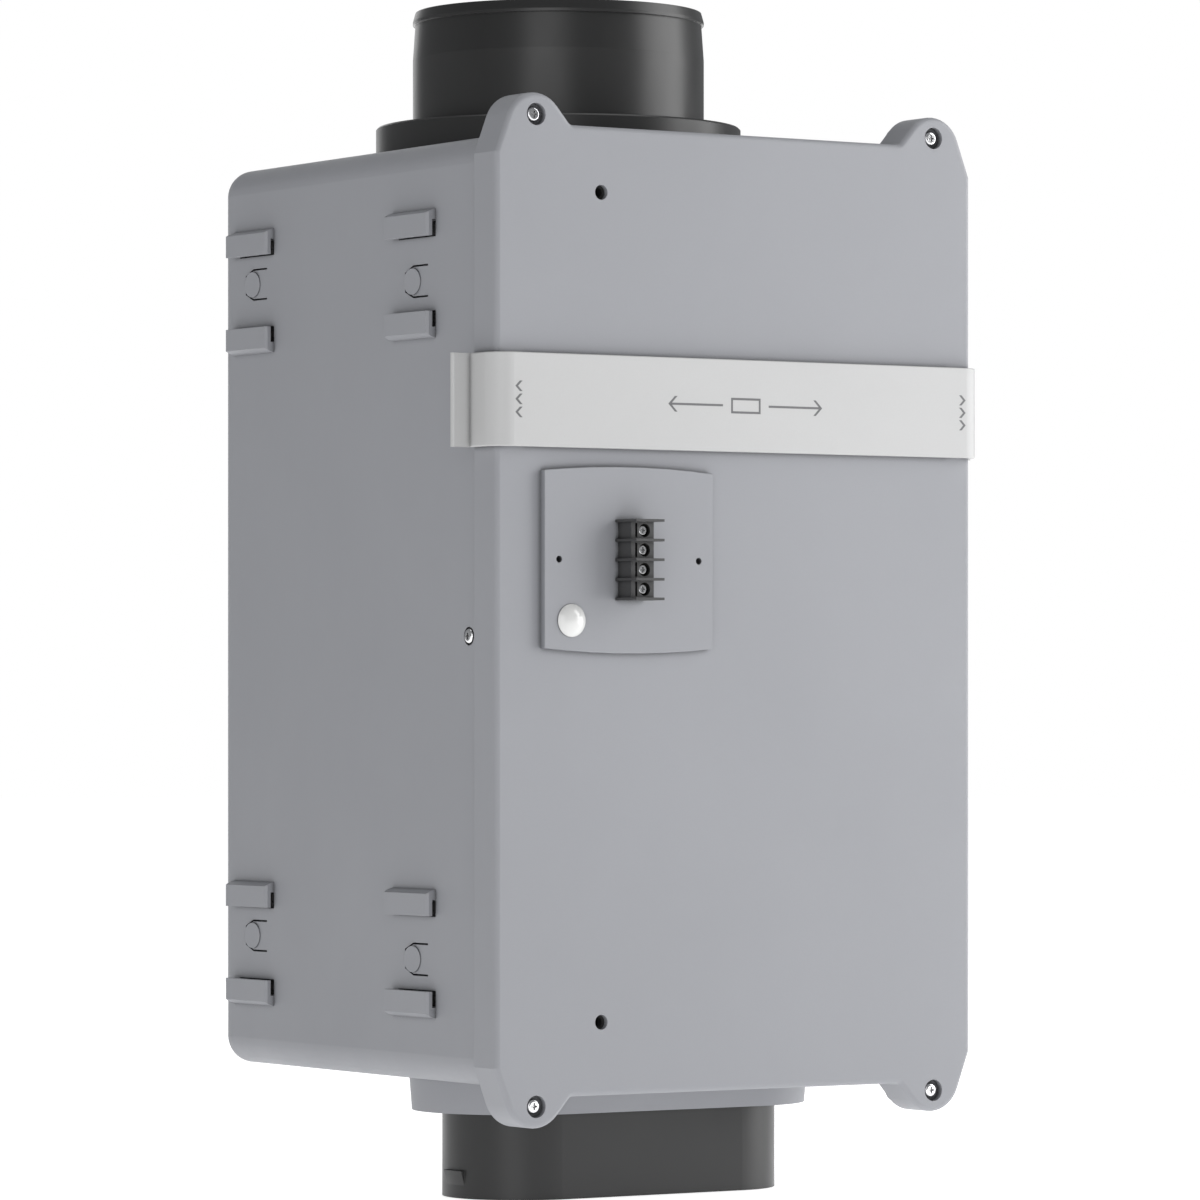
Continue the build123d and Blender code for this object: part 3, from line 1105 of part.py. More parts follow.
def make_control_board():
    """Circuit board with holes for its screws and the terminals' pins."""
    y0 = Y_FRONT + BOARD_FRONT
    y1 = y0 + BOARD_THICKNESS
    half_w = TRAY_WIDTH / 2 - TRAY_WALL - 0.5
    half_h = TRAY_HEIGHT / 2 - TRAY_WALL - 0.5
    board = block(TRAY_X - half_w, TRAY_X + half_w, y0, y1, TRAY_Z - half_h, TRAY_Z + half_h)
    for x, z in board_holes():
        board -= rod_y(1.2, x, z, y0 - 1, y1 + 1)
    for z in pole_heights():
        board -= rod_y(TERMINAL_PIN_RADIUS, TERMINAL_X, z, y0 - 1, y1 + 1)
    return board


def make_board_screws():
    """Screws of the circuit board."""
    y = Y_FRONT + BOARD_FRONT
    screw = Rot(90, 0, 0) * pan_screw(6.0, 1.2, 2.2, 1.4)
    return Compound(children=[Pos(x, y, z) * screw for x, z in board_holes()])


def make_tray_screws():
    """Screws of the tray, driven from inside the unit."""
    y = Y_FRONT + COVER_WALL + 6.0
    screws = []
    for x, z in tray_posts():
        screws.append(Pos(x, y, z) * Rot(-90, 0, 0) * pan_screw(5.0, 1.0, 2.4, 1.4))
    return Compound(children=screws)


def on_board(x, z, width, depth, height):
    """Component on the board's rear face, placed from the tray's centre."""
    y0 = Y_FRONT + BOARD_FRONT + BOARD_THICKNESS
    return block(TRAY_X + x - width / 2, TRAY_X + x + width / 2, y0, y0 + depth,
                 TRAY_Z + z - height / 2, TRAY_Z + z + height / 2)


def make_power_module():
    """Potted power supply."""
    return chamfer(on_board(-28, 18, 36, 10.8, 26).edges().group_by(Axis.Y)[-1], 1.0)


def make_relays():
    """Two relays that reverse the fan."""
    return Compound(children=[on_board(x, 22, 11, 10.6, 20) for x in (24, 39)])


def make_capacitors():
    """Row of smoothing capacitors."""
    y0 = Y_FRONT + BOARD_FRONT + BOARD_THICKNESS
    columns = [TRAY_X - 38 + 10 * i for i in range(3)]
    return Compound(children=[rod_y(4.0, x, TRAY_Z - 8, y0, y0 + 10.6) for x in columns])


def make_controller_chips():
    """Controller and motor driver."""
    return Compound(children=[on_board(24, -10, 14, 1.6, 14), on_board(-8, -24, 9, 1.6, 7)])


def socket_y():
    """Middle of the fan lead where it enters its socket."""
    return Y_FRONT + BOARD_FRONT + BOARD_THICKNESS + 3.5


def make_lead_socket():
    """Plug and socket of the fan's lead."""
    return on_board(LEAD_X - TRAY_X, -TRAY_HEIGHT / 2 + 18, 10, 7.0, 8)


def make_fan_lead():
    """Lead from the fan's ring, through the liner's channel, up to its socket."""
    lead_y = Y_FRONT + LINER_FRONT - 2.2
    socket_z = TRAY_Z - TRAY_HEIGHT / 2 + 14
    start_y = FAN_Y - math.sqrt((FAN_BORE_RADIUS + FAN_WALL) ** 2 - LEAD_X ** 2)
    path = FilletPolyline((LEAD_X, start_y + 0.4, LEAD_Z), (LEAD_X, lead_y, LEAD_Z),
                          (LEAD_X, lead_y, socket_z - 30), (LEAD_X, socket_y(), socket_z - 14),
                          (LEAD_X, socket_y(), socket_z), radius=7.0)
    profile = Plane(origin=path @ 0, z_dir=path % 0) * Circle(LEAD_RADIUS)
    return sweep(profile, path=path)


def make_temperature_sensors():
    """Probe in each air chamber, pushed through the liner's front wall."""
    probes = []
    for height in PROBE_HEIGHTS:
        y0 = Y_FRONT + LINER_FRONT
        probe = probe_rod(PROBE_RADIUS, height, 22.0)
        probe += rod_y(PROBE_RADIUS + 2.0, PROBE_X, Z_EDGE + height, y0 - 3.5, y0)
        probes.append(probe)
    return Compound(children=probes)


def probe_rod(radius, height, reach):
    """Rod from the liner's front to a distance inside the chamber."""
    y0 = Y_FRONT + LINER_FRONT
    return rod_y(radius, PROBE_X, Z_EDGE + height, y0 - 2, FAN_Y - CHAMBER_DEPTH / 2 + reach)


# ---------------------------------------------------------------- nodes
NODES = {
    "rear_casing": make_rear_casing,
    "front_cover": make_front_cover,
    "bracket_clips_left": lambda: make_bracket_clips(-1),
    "bracket_clips_right": lambda: make_bracket_clips(1),
    "cover_gasket": make_cover_gasket,
    "cover_screws": make_cover_screws,
    "threaded_inserts": make_threaded_inserts,
    "side_screws": make_side_screws,
    "access_cover": make_access_cover,
    "access_cover_seal": make_access_cover_seal,
    "filter_frame": make_filter_frame,
    "filter_media": make_filter_media,
    "filter_pull_tab": make_filter_pull_tab,
    "terminal_block": make_terminal_block,
    "terminal_plates": make_terminal_plates,
    "terminal_screws": make_terminal_screws,
    "entry_plug": make_entry_plug,
    "test_port_tubes": make_test_port_tubes,
    "top_spigot": make_top_spigot,
    "top_spigot_screws": make_top_spigot_screws,
    "bottom_spigot": make_bottom_spigot,
    "bottom_spigot_gasket": make_bottom_spigot_gasket,
    "bottom_spigot_screws": make_bottom_spigot_screws,
    "liner_top": make_liner_top,
    "liner_middle": make_liner_middle,
    "liner_bottom": make_liner_bottom,
    "core_blocks": make_core_blocks,
    "core_sleeve": make_core_sleeve,
    "core_grid": make_core_grid,
    "core_retainer": make_core_retainer,
    "fan_frame": make_fan_frame,
    "fan_stator": make_fan_stator,
    "fan_bearings": make_fan_bearings,
    "fan_shaft": make_fan_shaft,
    "fan_rotor": make_fan_rotor,
    "fan_screws": make_fan_screws,
    "fan_guard": make_fan_guard,
    "control_tray": make_control_tray,
    "control_board": make_control_board,
    "board_screws": make_board_screws,
    "tray_screws": make_tray_screws,
    "power_module": make_power_module,
    "relays": make_relays,
    "capacitors": make_capacitors,
    "controller_chips": make_controller_chips,
    "lead_socket": make_lead_socket,
    "fan_lead": make_fan_lead,
    "temperature_sensors": make_temperature_sensors,
}

os.makedirs("parts", exist_ok=True)
for node, make in NODES.items():
    export_step(make(), os.path.join("parts", node + ".step"))
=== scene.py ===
"""Looks of the heat recovery unit: studio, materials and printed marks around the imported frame. Metres."""
import json
import math

import bmesh
import bpy
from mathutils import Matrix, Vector


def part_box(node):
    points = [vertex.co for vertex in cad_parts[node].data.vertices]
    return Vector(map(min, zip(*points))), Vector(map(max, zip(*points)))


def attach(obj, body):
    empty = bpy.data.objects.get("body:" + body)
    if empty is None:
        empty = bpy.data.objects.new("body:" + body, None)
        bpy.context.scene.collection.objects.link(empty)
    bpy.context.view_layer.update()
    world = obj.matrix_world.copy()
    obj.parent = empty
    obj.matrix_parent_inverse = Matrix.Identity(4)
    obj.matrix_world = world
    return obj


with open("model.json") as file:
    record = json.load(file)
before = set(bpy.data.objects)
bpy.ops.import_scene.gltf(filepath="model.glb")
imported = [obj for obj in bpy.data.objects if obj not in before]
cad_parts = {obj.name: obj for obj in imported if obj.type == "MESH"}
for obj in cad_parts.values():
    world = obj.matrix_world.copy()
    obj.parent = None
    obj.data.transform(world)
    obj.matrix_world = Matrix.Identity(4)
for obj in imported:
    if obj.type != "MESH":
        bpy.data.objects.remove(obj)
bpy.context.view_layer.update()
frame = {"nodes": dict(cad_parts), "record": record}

MM = 0.001


# ---------------------------------------------------------------- camera, floor and lights
CAMERA_PLACE = (-1.8316, -2.74945, 0.2504)
CAMERA_TURN = 33.6935        # degrees from +Y towards +X, looking level
CAMERA_LENS = 191.08         # on a 36 mm sensor
CAMERA_RISE = 0.0881         # upward shift of the frame, as a share of its width
FLOOR_RADIUS = 14.0
FLOOR_DROP = 0.4 * MM
FLOOR_GLOW = 0.8             # keeps the floor as white as the surround
LIGHT_TARGET = (0.0, 0.0, 0.33)
WORLD_STRENGTH = 0.25        # what lights the unit; the camera itself sees plain white

# name: (place, (width, height), watts)
SOFT_BOXES = {
    "key_box": ((1.28, -0.74, 0.66), (1.15, 1.7), 22.0),
    "front_box": ((-1.56, -1.60, 0.6), (1.3, 1.6), 11.0),
    "top_box": ((0.2, 0.2, 2.6), (1.8, 1.8), 12.0),
    "rear_box": ((0.8, 2.2, 0.8), (1.5, 1.8), 8.0),
}


def make_camera():
    """Level long-lens view from the front left."""
    lens = bpy.data.cameras.new("camera")
    lens.lens = CAMERA_LENS
    lens.sensor_width = 36.0
    lens.shift_y = CAMERA_RISE
    lens.clip_end = 60.0
    camera = bpy.data.objects.new("camera", lens)
    camera.location = CAMERA_PLACE
    camera.rotation_euler = (math.radians(90), 0, -math.radians(CAMERA_TURN))
    bpy.context.scene.collection.objects.link(camera)
    bpy.context.scene.camera = camera


def soft_light(name, place, size, power):
    """Rectangular soft box aimed at the unit and unseen by the camera itself."""
    box = bpy.data.lights.new(name, "AREA")
    box.shape = "RECTANGLE"
    box.size, box.size_y = size
    box.energy = power
    lamp = bpy.data.objects.new(name, box)
    lamp.location = place
    lamp.rotation_euler = (Vector(LIGHT_TARGET) - Vector(place)).to_track_quat("-Z", "Y").to_euler()
    lamp.visible_camera = False
    bpy.context.scene.collection.objects.link(lamp)


def make_lights():
    """A tall key box on the right, a broad one at the front left, and weaker boxes above and behind."""
    for name, (place, size, power) in SOFT_BOXES.items():
        soft_light(name, place, size, power)


def make_world():
    """White surround to look at, and a dimmer one to light with."""
    world = bpy.data.worlds.new("studio")
    world.use_nodes = True
    bpy.context.scene.world = world
    tree = world.node_tree
    seen = tree.nodes["Background"]
    seen.inputs["Color"].default_value = (1, 1, 1, 1)
    seen.inputs["Strength"].default_value = 1.0
    lighting = tree.nodes.new("ShaderNodeBackground")
    lighting.inputs["Color"].default_value = (0.96, 0.98, 1.0, 1)
    lighting.inputs["Strength"].default_value = WORLD_STRENGTH
    path = tree.nodes.new("ShaderNodeLightPath")
    mix = tree.nodes.new("ShaderNodeMixShader")
    tree.links.new(path.outputs["Is Camera Ray"], mix.inputs["Fac"])
    tree.links.new(lighting.outputs["Background"], mix.inputs[1])
    tree.links.new(seen.outputs["Background"], mix.inputs[2])
    tree.links.new(mix.outputs["Shader"], tree.nodes["World Output"].inputs["Surface"])


def make_floor():
    """Wide pale floor under the unit."""
    shape = bmesh.new()
    bmesh.ops.create_circle(shape, cap_ends=True, segments=96, radius=FLOOR_RADIUS)
    bmesh.ops.translate(shape, verts=shape.verts, vec=(0, 0, -FLOOR_DROP))
    mesh = bpy.data.meshes.new("floor")
    shape.to_mesh(mesh)
    shape.free()
    floor = bpy.data.objects.new("floor", mesh)
    bpy.context.scene.collection.objects.link(floor)
    paint = Paint("floor_white", roughness=0.9, specular=0.1)
    cloud = paint.noise(3.0, detail=2)
    paint.feed("Base Color", paint.blend_colours(cloud, (0.86, 0.86, 0.86), (0.9, 0.9, 0.9)))
    paint.shader.inputs["Emission Color"].default_value = (1, 1, 1, 1)
    paint.shader.inputs["Emission Strength"].default_value = FLOOR_GLOW
    mesh.materials.append(paint.material)


# ---------------------------------------------------------------- material building blocks
class Paint:
    """One node material under construction; textures follow the piece's own coordinates."""

    def __init__(self, name, roughness=0.5, metallic=0.0, specular=0.5, coat=0.0, coat_roughness=0.1,
                 sheen=0.0):
        self.material = bpy.data.materials.new(name)
        self.material.use_nodes = True
        self.tree = self.material.node_tree
        self.shader = self.tree.nodes["Principled BSDF"]
        self.shader.inputs["Roughness"].default_value = roughness
        self.shader.inputs["Metallic"].default_value = metallic
        self.shader.inputs["Specular IOR Level"].default_value = specular
        self.shader.inputs["Coat Weight"].default_value = coat
        self.shader.inputs["Coat Roughness"].default_value = coat_roughness
        self.shader.inputs["Sheen Weight"].default_value = sheen
        self.place = self.node("ShaderNodeTexCoord").outputs["Object"]

    def node(self, kind, **settings):
        """New node with its own properties set."""
        made = self.tree.nodes.new(kind)
        for key, value in settings.items():
            setattr(made, key, value)
        return made

    def put(self, socket, value):
        """Links a socket, or sets a constant."""
        if isinstance(value, bpy.types.NodeSocket):
            self.tree.links.new(value, socket)
        else:
            socket.default_value = value

    def feed(self, name, value):
        """Drives one input of the shader."""
        self.put(self.shader.inputs[name], value)

    def stretched(self, scale):
        """The piece's coordinates, scaled by axis."""
        made = self.node("ShaderNodeMapping")
        self.put(made.inputs["Vector"], self.place)
        made.inputs["Scale"].default_value = scale
        return made.outputs["Vector"]

    def noise(self, scale, detail=4.0, roughness=0.55, stretch=None, distortion=0.0):
        """Fractal noise from 0 to 1; scale is in cells a metre."""
        made = self.node("ShaderNodeTexNoise")
        self.put(made.inputs["Vector"], self.stretched(stretch) if stretch else self.place)
        made.inputs["Scale"].default_value = scale
        made.inputs["Detail"].default_value = detail
        made.inputs["Roughness"].default_value = roughness
        made.inputs["Distortion"].default_value = distortion
        return made.outputs["Fac"]

    def cells(self, scale, feature="F1", output="Distance", randomness=1.0, stretch=None):
        """Cell texture; scale is in cells a metre."""
        made = self.node("ShaderNodeTexVoronoi", feature=feature)
        self.put(made.inputs["Vector"], self.stretched(stretch) if stretch else self.place)
        made.inputs["Scale"].default_value = scale
        made.inputs["Randomness"].default_value = randomness
        return made.outputs[output]

    def spread(self, value, low, high, new_low=0.0, new_high=1.0):
        """Maps a range of values to another, clamped."""
        made = self.node("ShaderNodeMapRange")
        self.put(made.inputs["Value"], value)
        for key, number in (("From Min", low), ("From Max", high), ("To Min", new_low), ("To Max", new_high)):
            made.inputs[key].default_value = number
        return made.outputs["Result"]

    def sums(self, operation, a, b):
        """One arithmetic step between two values."""
        made = self.node("ShaderNodeMath", operation=operation)
        self.put(made.inputs[0], a)
        self.put(made.inputs[1], b)
        return made.outputs["Value"]

    def blend_colours(self, share, a, b):
        """Colour between a and b."""
        made = self.node("ShaderNodeMix", data_type="RGBA")
        self.put(made.inputs["Factor"], share)
        for socket, value in ((made.inputs["A"], a), (made.inputs["B"], b)):
            self.put(socket, (*value, 1.0) if isinstance(value, tuple) else value)
        return made.outputs["Result"]

    def bump(self, height, distance, strength=1.0, under=None):
        """Surface relief; distance is in metres."""
        made = self.node("ShaderNodeBump")
        made.inputs["Strength"].default_value = strength
        made.inputs["Distance"].default_value = distance
        self.put(made.inputs["Height"], height)
        if under is not None:
            self.put(made.inputs["Normal"], under)
        return made.outputs["Normal"]

    def rounded(self, radius):
        """Normal of the surface with its edges eased to a small radius."""
        made = self.node("ShaderNodeBevel", samples=4)
        made.inputs["Radius"].default_value = radius
        return made.outputs["Normal"]

    def with_painted_recess_shade(self, colour, reach, darkest):
        """The colour with painted shade: darkened in recesses and gaps narrower than the reach."""
        open_sky = self.node("ShaderNodeAmbientOcclusion", samples=6)
        open_sky.inputs["Distance"].default_value = reach
        share = self.spread(open_sky.outputs["AO"], 0.15, 0.85, darkest, 1.0)
        made = self.node("ShaderNodeVectorMath", operation="SCALE")
        self.put(made.inputs[0], colour)
        self.put(made.inputs["Scale"], share)
        return made.outputs["Vector"]

    def edges(self, radius):
        """1 along edges, 0 elsewhere."""
        turn = self.node("ShaderNodeVectorMath", operation="DOT_PRODUCT")
        self.put(turn.inputs[0], self.rounded(radius))
        self.put(turn.inputs[1], self.node("ShaderNodeNewGeometry").outputs["Normal"])
        return self.spread(turn.outputs["Value"], 0.995, 0.80)


def scaled(colour, share):
    """A colour made darker or lighter."""
    return tuple(min(1.0, channel * share) for channel in colour)


# painted shade in recesses and gaps: how far it reaches and how dark it gets
PAINTED_SHADE_REACH = 4.0 * MM      # painted shade: gaps narrower than this are painted darker in moulded plastic
PAINTED_SHADE_DARKEST = 0.04
SCREW_SHADE_REACH = 1.6 * MM       # the same painted shade in metal, for the screws' cross recesses
SCREW_SHADE_DARKEST = 0.03


def moulded(name, colour, roughness, grain=0.35 * MM, relief=0.012 * MM, edge=0.5 * MM, wear_and_highlight=1.12,
            **settings):
    """Moulded plastic: spark-eroded grain, faint flow clouds, handling sheen, edges painted lighter as part
    abrasion and part painted highlight, and painted shade in recesses.
    """
    paint = Paint(name, roughness=roughness, **settings)
    cloud = paint.noise(9.0, detail=3, distortion=0.6)
    speck = paint.noise(1 / grain, detail=2, roughness=0.7)
    tint = paint.blend_colours(cloud, scaled(colour, 0.955), scaled(colour, 1.045))
    tint = paint.blend_colours(paint.spread(speck, 0.35, 0.75, 0.0, 0.35), tint, scaled(colour, 0.88))
    # edges painted lighter: partly abrasion, partly painted highlight along the fillets
    rub_and_highlight = paint.sums("MULTIPLY", paint.edges(edge), paint.spread(paint.noise(120.0), 0.35, 0.65, 0.35, 1.0))
    worn_and_highlit = paint.blend_colours(rub_and_highlight, tint, scaled(colour, wear_and_highlight))
    # base colour carries painted shade, darkened in recesses and gaps
    paint.feed("Base Color", paint.with_painted_recess_shade(worn_and_highlit, PAINTED_SHADE_REACH, PAINTED_SHADE_DARKEST))
    smear = paint.noise(26.0, detail=5, stretch=(1.0, 1.0, 0.45))
    dull = paint.spread(smear, 0.3, 0.7, roughness - 0.05, roughness + 0.06)
    paint.feed("Roughness", paint.sums("SUBTRACT", dull, paint.sums("MULTIPLY", rub_and_highlight, 0.08)))
    pits = paint.cells(0.8 / grain)
    relief_sum = paint.sums("ADD", paint.sums("MULTIPLY", speck, 0.6), paint.sums("MULTIPLY", pits, 0.4))
    paint.feed("Normal", paint.bump(relief_sum, relief, under=paint.rounded(edge)))
    return paint.material


def metal(name, colour, roughness, brush=None, edge=0.15 * MM):
    """Plated or ground metal with fine scratches and painted shade in its recesses; brush stretches the
    scratches along an axis.
    """
    paint = Paint(name, roughness=roughness, metallic=1.0)
    streak = paint.noise(2600.0, detail=3, stretch=brush)
    cloud = paint.noise(180.0, detail=3)
    tint = paint.blend_colours(cloud, scaled(colour, 0.9), scaled(colour, 1.06))
    # base colour carries painted shade, darkened in the screws' cross recesses
    paint.feed("Base Color", paint.with_painted_recess_shade(tint, SCREW_SHADE_REACH, SCREW_SHADE_DARKEST))
    paint.feed("Roughness", paint.spread(streak, 0.3, 0.7, roughness * 0.75, roughness * 1.5))
    paint.feed("Normal", paint.bump(streak, 0.004 * MM, under=paint.rounded(edge)))
    return paint.material


def foam(name, colour, cell, relief, roughness=0.85):
    """Closed-cell or bead foam: rounded cells with darker seams."""
    paint = Paint(name, roughness=roughness, specular=0.3)
    seam = paint.spread(paint.cells(1 / cell, feature="DISTANCE_TO_EDGE"), 0.0, 0.12)
    shade = paint.cells(1 / cell, output="Color")
    mottled = paint.node("ShaderNodeMix", data_type="RGBA", blend_type="SOFT_LIGHT")
    mottled.inputs["Factor"].default_value = 0.35
    mottled.inputs["A"].default_value = (*colour, 1)
    paint.put(mottled.inputs["B"], shade)
    plain = paint.node("ShaderNodeHueSaturation")
    plain.inputs["Saturation"].default_value = 0.15
    paint.put(plain.inputs["Color"], mottled.outputs["Result"])
    paint.feed("Base Color", paint.blend_colours(seam, scaled(colour, 0.45), plain.outputs["Color"]))
    paint.feed("Normal", paint.bump(paint.sums("ADD", seam, paint.noise(3 / cell)), relief))
    return paint.material


def felt(name, colour, sheen=0.3):
    """Non-woven fibre: crossed hair-like streaks and soft lumps."""
    paint = Paint(name, roughness=0.95, specular=0.2, sheen=sheen)
    across = paint.noise(900.0, detail=6, roughness=0.75, stretch=(1.0, 0.12, 1.0), distortion=1.5)
    along = paint.noise(900.0, detail=6, roughness=0.75, stretch=(0.12, 1.0, 1.0), distortion=1.5)
    fibre = paint.sums("MAXIMUM", across, along)
    lump = paint.noise(90.0, detail=3)
    tint = paint.blend_colours(paint.spread(fibre, 0.4, 0.75), scaled(colour, 0.78), scaled(colour, 1.05))
    soiled = paint.spread(lump, 0.3, 0.7, 0.0, 0.2)
    paint.feed("Base Color", paint.blend_colours(soiled, tint, scaled(colour, 0.7)))
    paint.feed("Normal", paint.bump(paint.sums("ADD", fibre, lump), 0.12 * MM))
    return paint.material


def board_paper(name, colour):
    """Pressed card: fine fibres, slight staining and a matt face."""
    paint = Paint(name, roughness=0.8, specular=0.25)
    fibre = paint.noise(700.0, detail=6, roughness=0.7, stretch=(1.0, 0.3, 1.0), distortion=1.0)
    stain = paint.noise(14.0, detail=4)
    tint = paint.blend_colours(paint.spread(fibre, 0.35, 0.7), scaled(colour, 0.88), scaled(colour, 1.02))
    stained = paint.spread(stain, 0.4, 0.8, 0.0, 0.25)
    paint.feed("Base Color", paint.blend_colours(stained, tint, (0.62, 0.56, 0.46)))
    paint.feed("Normal", paint.bump(fibre, 0.05 * MM, under=paint.rounded(0.3 * MM)))
    return paint.material


CELL_PITCH = 3.4 * MM
CELL_WALL = 0.16             # share of a cell taken by its wall


def ceramic(name, colour):
    """Extruded honeycomb: square channels on the flow faces painted near-black as painted shade inside them,
    drag lines on the sides.
    """
    paint = Paint(name, roughness=0.9, specular=0.2)
    split = paint.node("ShaderNodeSeparateXYZ")
    paint.put(split.inputs["Vector"], paint.place)
    wall = None
    for axis in ("X", "Y"):
        cell = paint.sums("FRACT", paint.sums("DIVIDE", split.outputs[axis], CELL_PITCH), 0.0)
        away = paint.sums("ABSOLUTE", paint.sums("SUBTRACT", cell, 0.5), 0.0)
        solid = paint.spread(away, 0.5 - CELL_WALL, 0.5 - CELL_WALL + 0.05)
        wall = solid if wall is None else paint.sums("MAXIMUM", wall, solid)
    facing = paint.node("ShaderNodeSeparateXYZ")
    paint.put(facing.inputs["Vector"], paint.node("ShaderNodeNewGeometry").outputs["Normal"])
    side = paint.spread(paint.sums("ABSOLUTE", facing.outputs["Z"], 0.0), 0.9, 0.6)
    solid = paint.sums("MAXIMUM", wall, side)
    speck = paint.noise(1500.0, detail=3)
    tint = paint.blend_colours(paint.noise(20.0), scaled(colour, 0.86), scaled(colour, 1.06))
    tint = paint.blend_colours(paint.spread(speck, 0.55, 0.8, 0.0, 0.5), tint, scaled(colour, 0.6))
    # channel openings painted near-black: painted shade inside the honeycomb channels
    paint.feed("Base Color", paint.blend_colours(solid, scaled(colour, 0.06), tint))
    drag = paint.noise(500.0, detail=3, stretch=(1.0, 1.0, 0.04))
    paint.feed("Normal", paint.bump(paint.sums("ADD", solid, paint.sums("MULTIPLY", drag, 0.2)), 0.5 * MM))
    return paint.material


def laminate(name):
    """Lacquered circuit board: copper tracks and weave under green solder mask."""
    paint = Paint(name, roughness=0.35, coat=0.4, coat_roughness=0.15)
    weave = paint.cells(1400.0, randomness=0.1)
    track = paint.node("ShaderNodeTexBrick")
    paint.put(track.inputs["Vector"], paint.place)
    track.inputs["Scale"].default_value = 1.0
    track.inputs["Brick Width"].default_value = 5.2 * MM
    track.inputs["Row Height"].default_value = 1.9 * MM
    track.inputs["Mortar Size"].default_value = 0.35 * MM
    traced = paint.blend_colours(track.outputs["Fac"], (0.012, 0.10, 0.035), (0.03, 0.19, 0.07))
    woven = paint.spread(weave, 0.2, 0.5, 0.0, 0.3)
    paint.feed("Base Color", paint.blend_colours(woven, traced, (0.01, 0.07, 0.03)))
    paint.feed("Normal", paint.bump(paint.sums("ADD", track.outputs["Fac"], weave), 0.03 * MM))
    return paint.material


# ---------------------------------------------------------------- one finish for each material slot
CASING = (0.292, 0.297, 0.318)
STRAP = (0.50, 0.50, 0.50)
BLACK = (0.018, 0.018, 0.018)


def make_finishes():
    """Material for every slot name in the record."""
    return {
        "casing_grey": moulded("casing_grey", CASING, 0.50, edge=0.3 * MM, wear_and_highlight=1.10),
        "cover_white": moulded("cover_white", STRAP, 0.42, relief=0.006 * MM, wear_and_highlight=1.06),
        "spigot_black": moulded("spigot_black", BLACK, 0.34, relief=0.006 * MM, wear_and_highlight=1.6),
        "terminal_black": moulded("terminal_black", (0.05, 0.05, 0.051), 0.42, grain=0.2 * MM,
                                  edge=0.2 * MM, wear_and_highlight=1.5),
        "plug_white": moulded("plug_white", (0.70, 0.70, 0.69), 0.14, relief=0.002 * MM,
                              edge=0.3 * MM, wear_and_highlight=1.02,
                              coat=0.5, coat_roughness=0.06),
        "rubber_black": moulded("rubber_black", (0.02, 0.02, 0.02), 0.72, relief=0.02 * MM,
                                edge=0.2 * MM, wear_and_highlight=1.8),
        "foam_black": foam("foam_black", (0.035, 0.035, 0.036), 0.5 * MM, 0.06 * MM),
        "filter_board": board_paper("filter_board", (0.60, 0.59, 0.56)),
        "filter_felt": felt("filter_felt", (0.66, 0.66, 0.64)),
        "liner_foam": foam("liner_foam", (0.06, 0.06, 0.064), 3.2 * MM, 0.25 * MM),
        "core_ceramic": ceramic("core_ceramic", (0.74, 0.67, 0.56)),
        "felt_grey": felt("felt_grey", (0.42, 0.42, 0.42)),
        "fan_black": moulded("fan_black", (0.028, 0.028, 0.03), 0.42, wear_and_highlight=1.5, edge=0.3 * MM),
        "motor_steel": metal("motor_steel", (0.52, 0.52, 0.53), 0.32, brush=(1.0, 1.0, 0.1)),
        "chromed_steel": metal("chromed_steel", (0.84, 0.84, 0.85), 0.10, edge=0.08 * MM),
        "brass": metal("brass", (0.72, 0.53, 0.22), 0.30),
        "plated_brass": metal("plated_brass", (0.80, 0.76, 0.64), 0.22),
        "board_green": laminate("board_green"),
        "relay_blue": moulded("relay_blue", (0.03, 0.12, 0.42), 0.38, grain=0.2 * MM, edge=0.2 * MM),
        "capacitor_dark": moulded("capacitor_dark", (0.02, 0.02, 0.05), 0.22, relief=0.003 * MM, coat=0.6),
        "lead_grey": moulded("lead_grey", (0.2, 0.2, 0.2), 0.6, edge=0.1 * MM),
    }


def dress_nodes(finishes):
    """Gives every CAD node its slot's material."""
    for row in frame["record"]["subparts"]:
        mesh = frame["nodes"][row["node"]].data
        mesh.materials.clear()
        mesh.materials.append(finishes[row["material_slot"]])


# ---------------------------------------------------------------- printed marks on the access cover
INK_THICKNESS = 0.05 * MM
STROKE = 1.1 * MM
MARK_HALF_HEIGHT = 3.9 * MM
MARK_REACH = 47.0 * MM       # tips of the middle mark's arrows, each side of the centre
MARK_TAIL = 14.0 * MM        # where those arrows start
FRAME_HALF_WIDTH = 9.0 * MM
CHEVRON_HALF_HEIGHT = 2.6 * MM
GRIP_INSET = 21.4 * MM       # end marks' middle, from the cover's side
GRIP_PITCH = 6.4 * MM


def arrow_strokes(tip, tail, z, half, direction):
    """Outlines of a shaft and an open head, as (x, z) corners; the tip points along direction."""
    back = tip - direction * half
    slant = STROKE * math.sqrt(2)
    shaft = [(tail, z - STROKE / 2), (tip - direction * slant, z - STROKE / 2),
             (tip - direction * slant, z + STROKE / 2), (tail, z + STROKE / 2)]
    head = [(tip, z), (back, z + half), (back - direction * slant, z + half), (tip - direction * slant, z),
            (back - direction * slant, z - half), (back, z - half)]
    return [shaft, head]


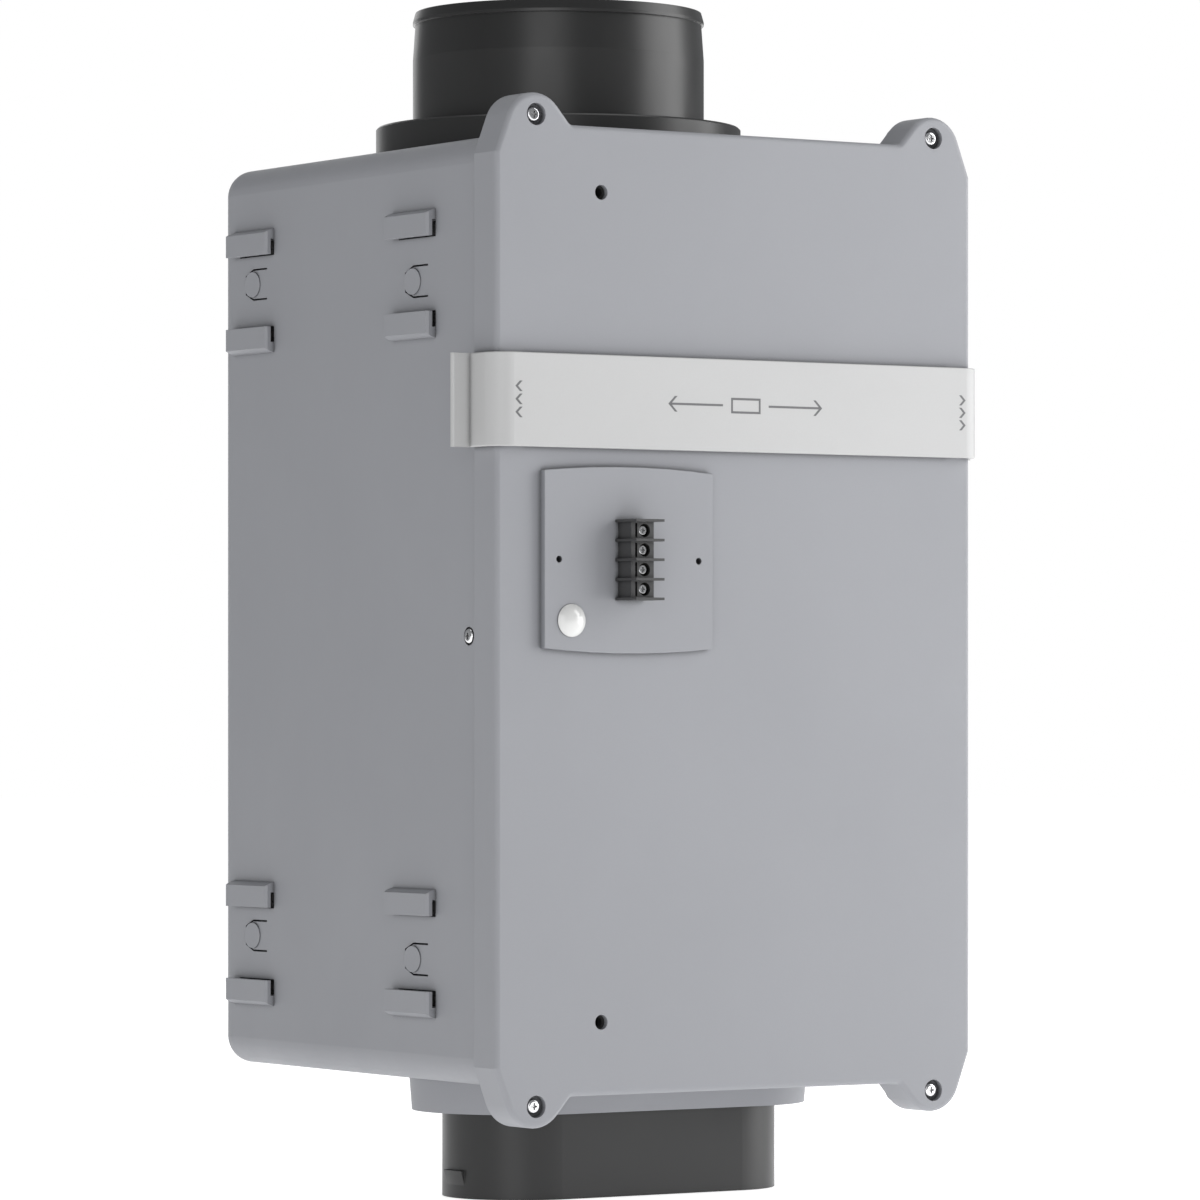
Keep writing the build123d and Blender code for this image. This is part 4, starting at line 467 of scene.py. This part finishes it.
def box_strokes(x, z, half_width, half_height):
    """Four bars of an open rectangle."""
    bars = []
    for sign in (-1, 1):
        low = z + sign * (half_height - STROKE / 2)
        bars.append([(x - half_width, low - STROKE / 2), (x + half_width, low - STROKE / 2),
                     (x + half_width, low + STROKE / 2), (x - half_width, low + STROKE / 2)])
        side = x + sign * (half_width - STROKE / 2)
        inner = half_height - STROKE
        bars.append([(side - STROKE / 2, z - inner), (side + STROKE / 2, z - inner),
                     (side + STROKE / 2, z + inner), (side - STROKE / 2, z + inner)])
    return bars


def chevron(tip, z, half, direction):
    """Small arrow head on its own."""
    return arrow_strokes(tip, tip, z, half, direction)[1:]


def print_mark(name, outlines, front, ink):
    """Thin ink shapes lying on the access cover's front."""
    shape = bmesh.new()
    for outline in outlines:
        near = [shape.verts.new((x, front - INK_THICKNESS, z)) for x, z in outline]
        far = [shape.verts.new((x, front, z)) for x, z in outline]
        shape.faces.new(near)
        shape.faces.new(far[::-1])
        for i in range(len(outline)):
            j = (i + 1) % len(outline)
            shape.faces.new((near[i], far[i], far[j], near[j]))
    bmesh.ops.recalc_face_normals(shape, faces=shape.faces)
    mesh = bpy.data.meshes.new(name)
    shape.to_mesh(mesh)
    shape.free()
    mesh.materials.append(ink)
    mark = bpy.data.objects.new(name, mesh)
    bpy.context.scene.collection.objects.link(mark)
    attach(mark, "access")


def make_marks():
    """Pull pictograms: arrows outward from a frame in the middle, and three chevrons at each end."""
    low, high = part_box("access_cover")
    z = (low.z + high.z) / 2
    ink = Paint("ink_grey", roughness=0.5)
    ink.feed("Base Color", ink_density(ink))
    middle = box_strokes(0.0, z, FRAME_HALF_WIDTH, MARK_HALF_HEIGHT)
    for sign in (-1, 1):
        middle += arrow_strokes(sign * MARK_REACH, sign * MARK_TAIL, z, MARK_HALF_HEIGHT, sign)
    print_mark("mark_middle", middle, low.y, ink.material)
    for name, side, sign in (("mark_left", low.x, -1), ("mark_right", high.x, 1)):
        tip = side - sign * GRIP_INSET
        strokes = []
        for step in (-1, 0, 1):
            strokes += chevron(tip, z + step * GRIP_PITCH, CHEVRON_HALF_HEIGHT, sign)
        print_mark(name, strokes, low.y, ink.material)


def ink_density(ink):
    """Screen-printed ink: slightly uneven density."""
    density = ink.noise(1200.0, detail=3)
    return ink.blend_colours(density, (0.10, 0.10, 0.105), (0.17, 0.17, 0.175))


bpy.context.scene.view_settings.view_transform = "Standard"
make_camera()
make_world()
make_lights()
make_floor()
dress_nodes(make_finishes())
make_marks()
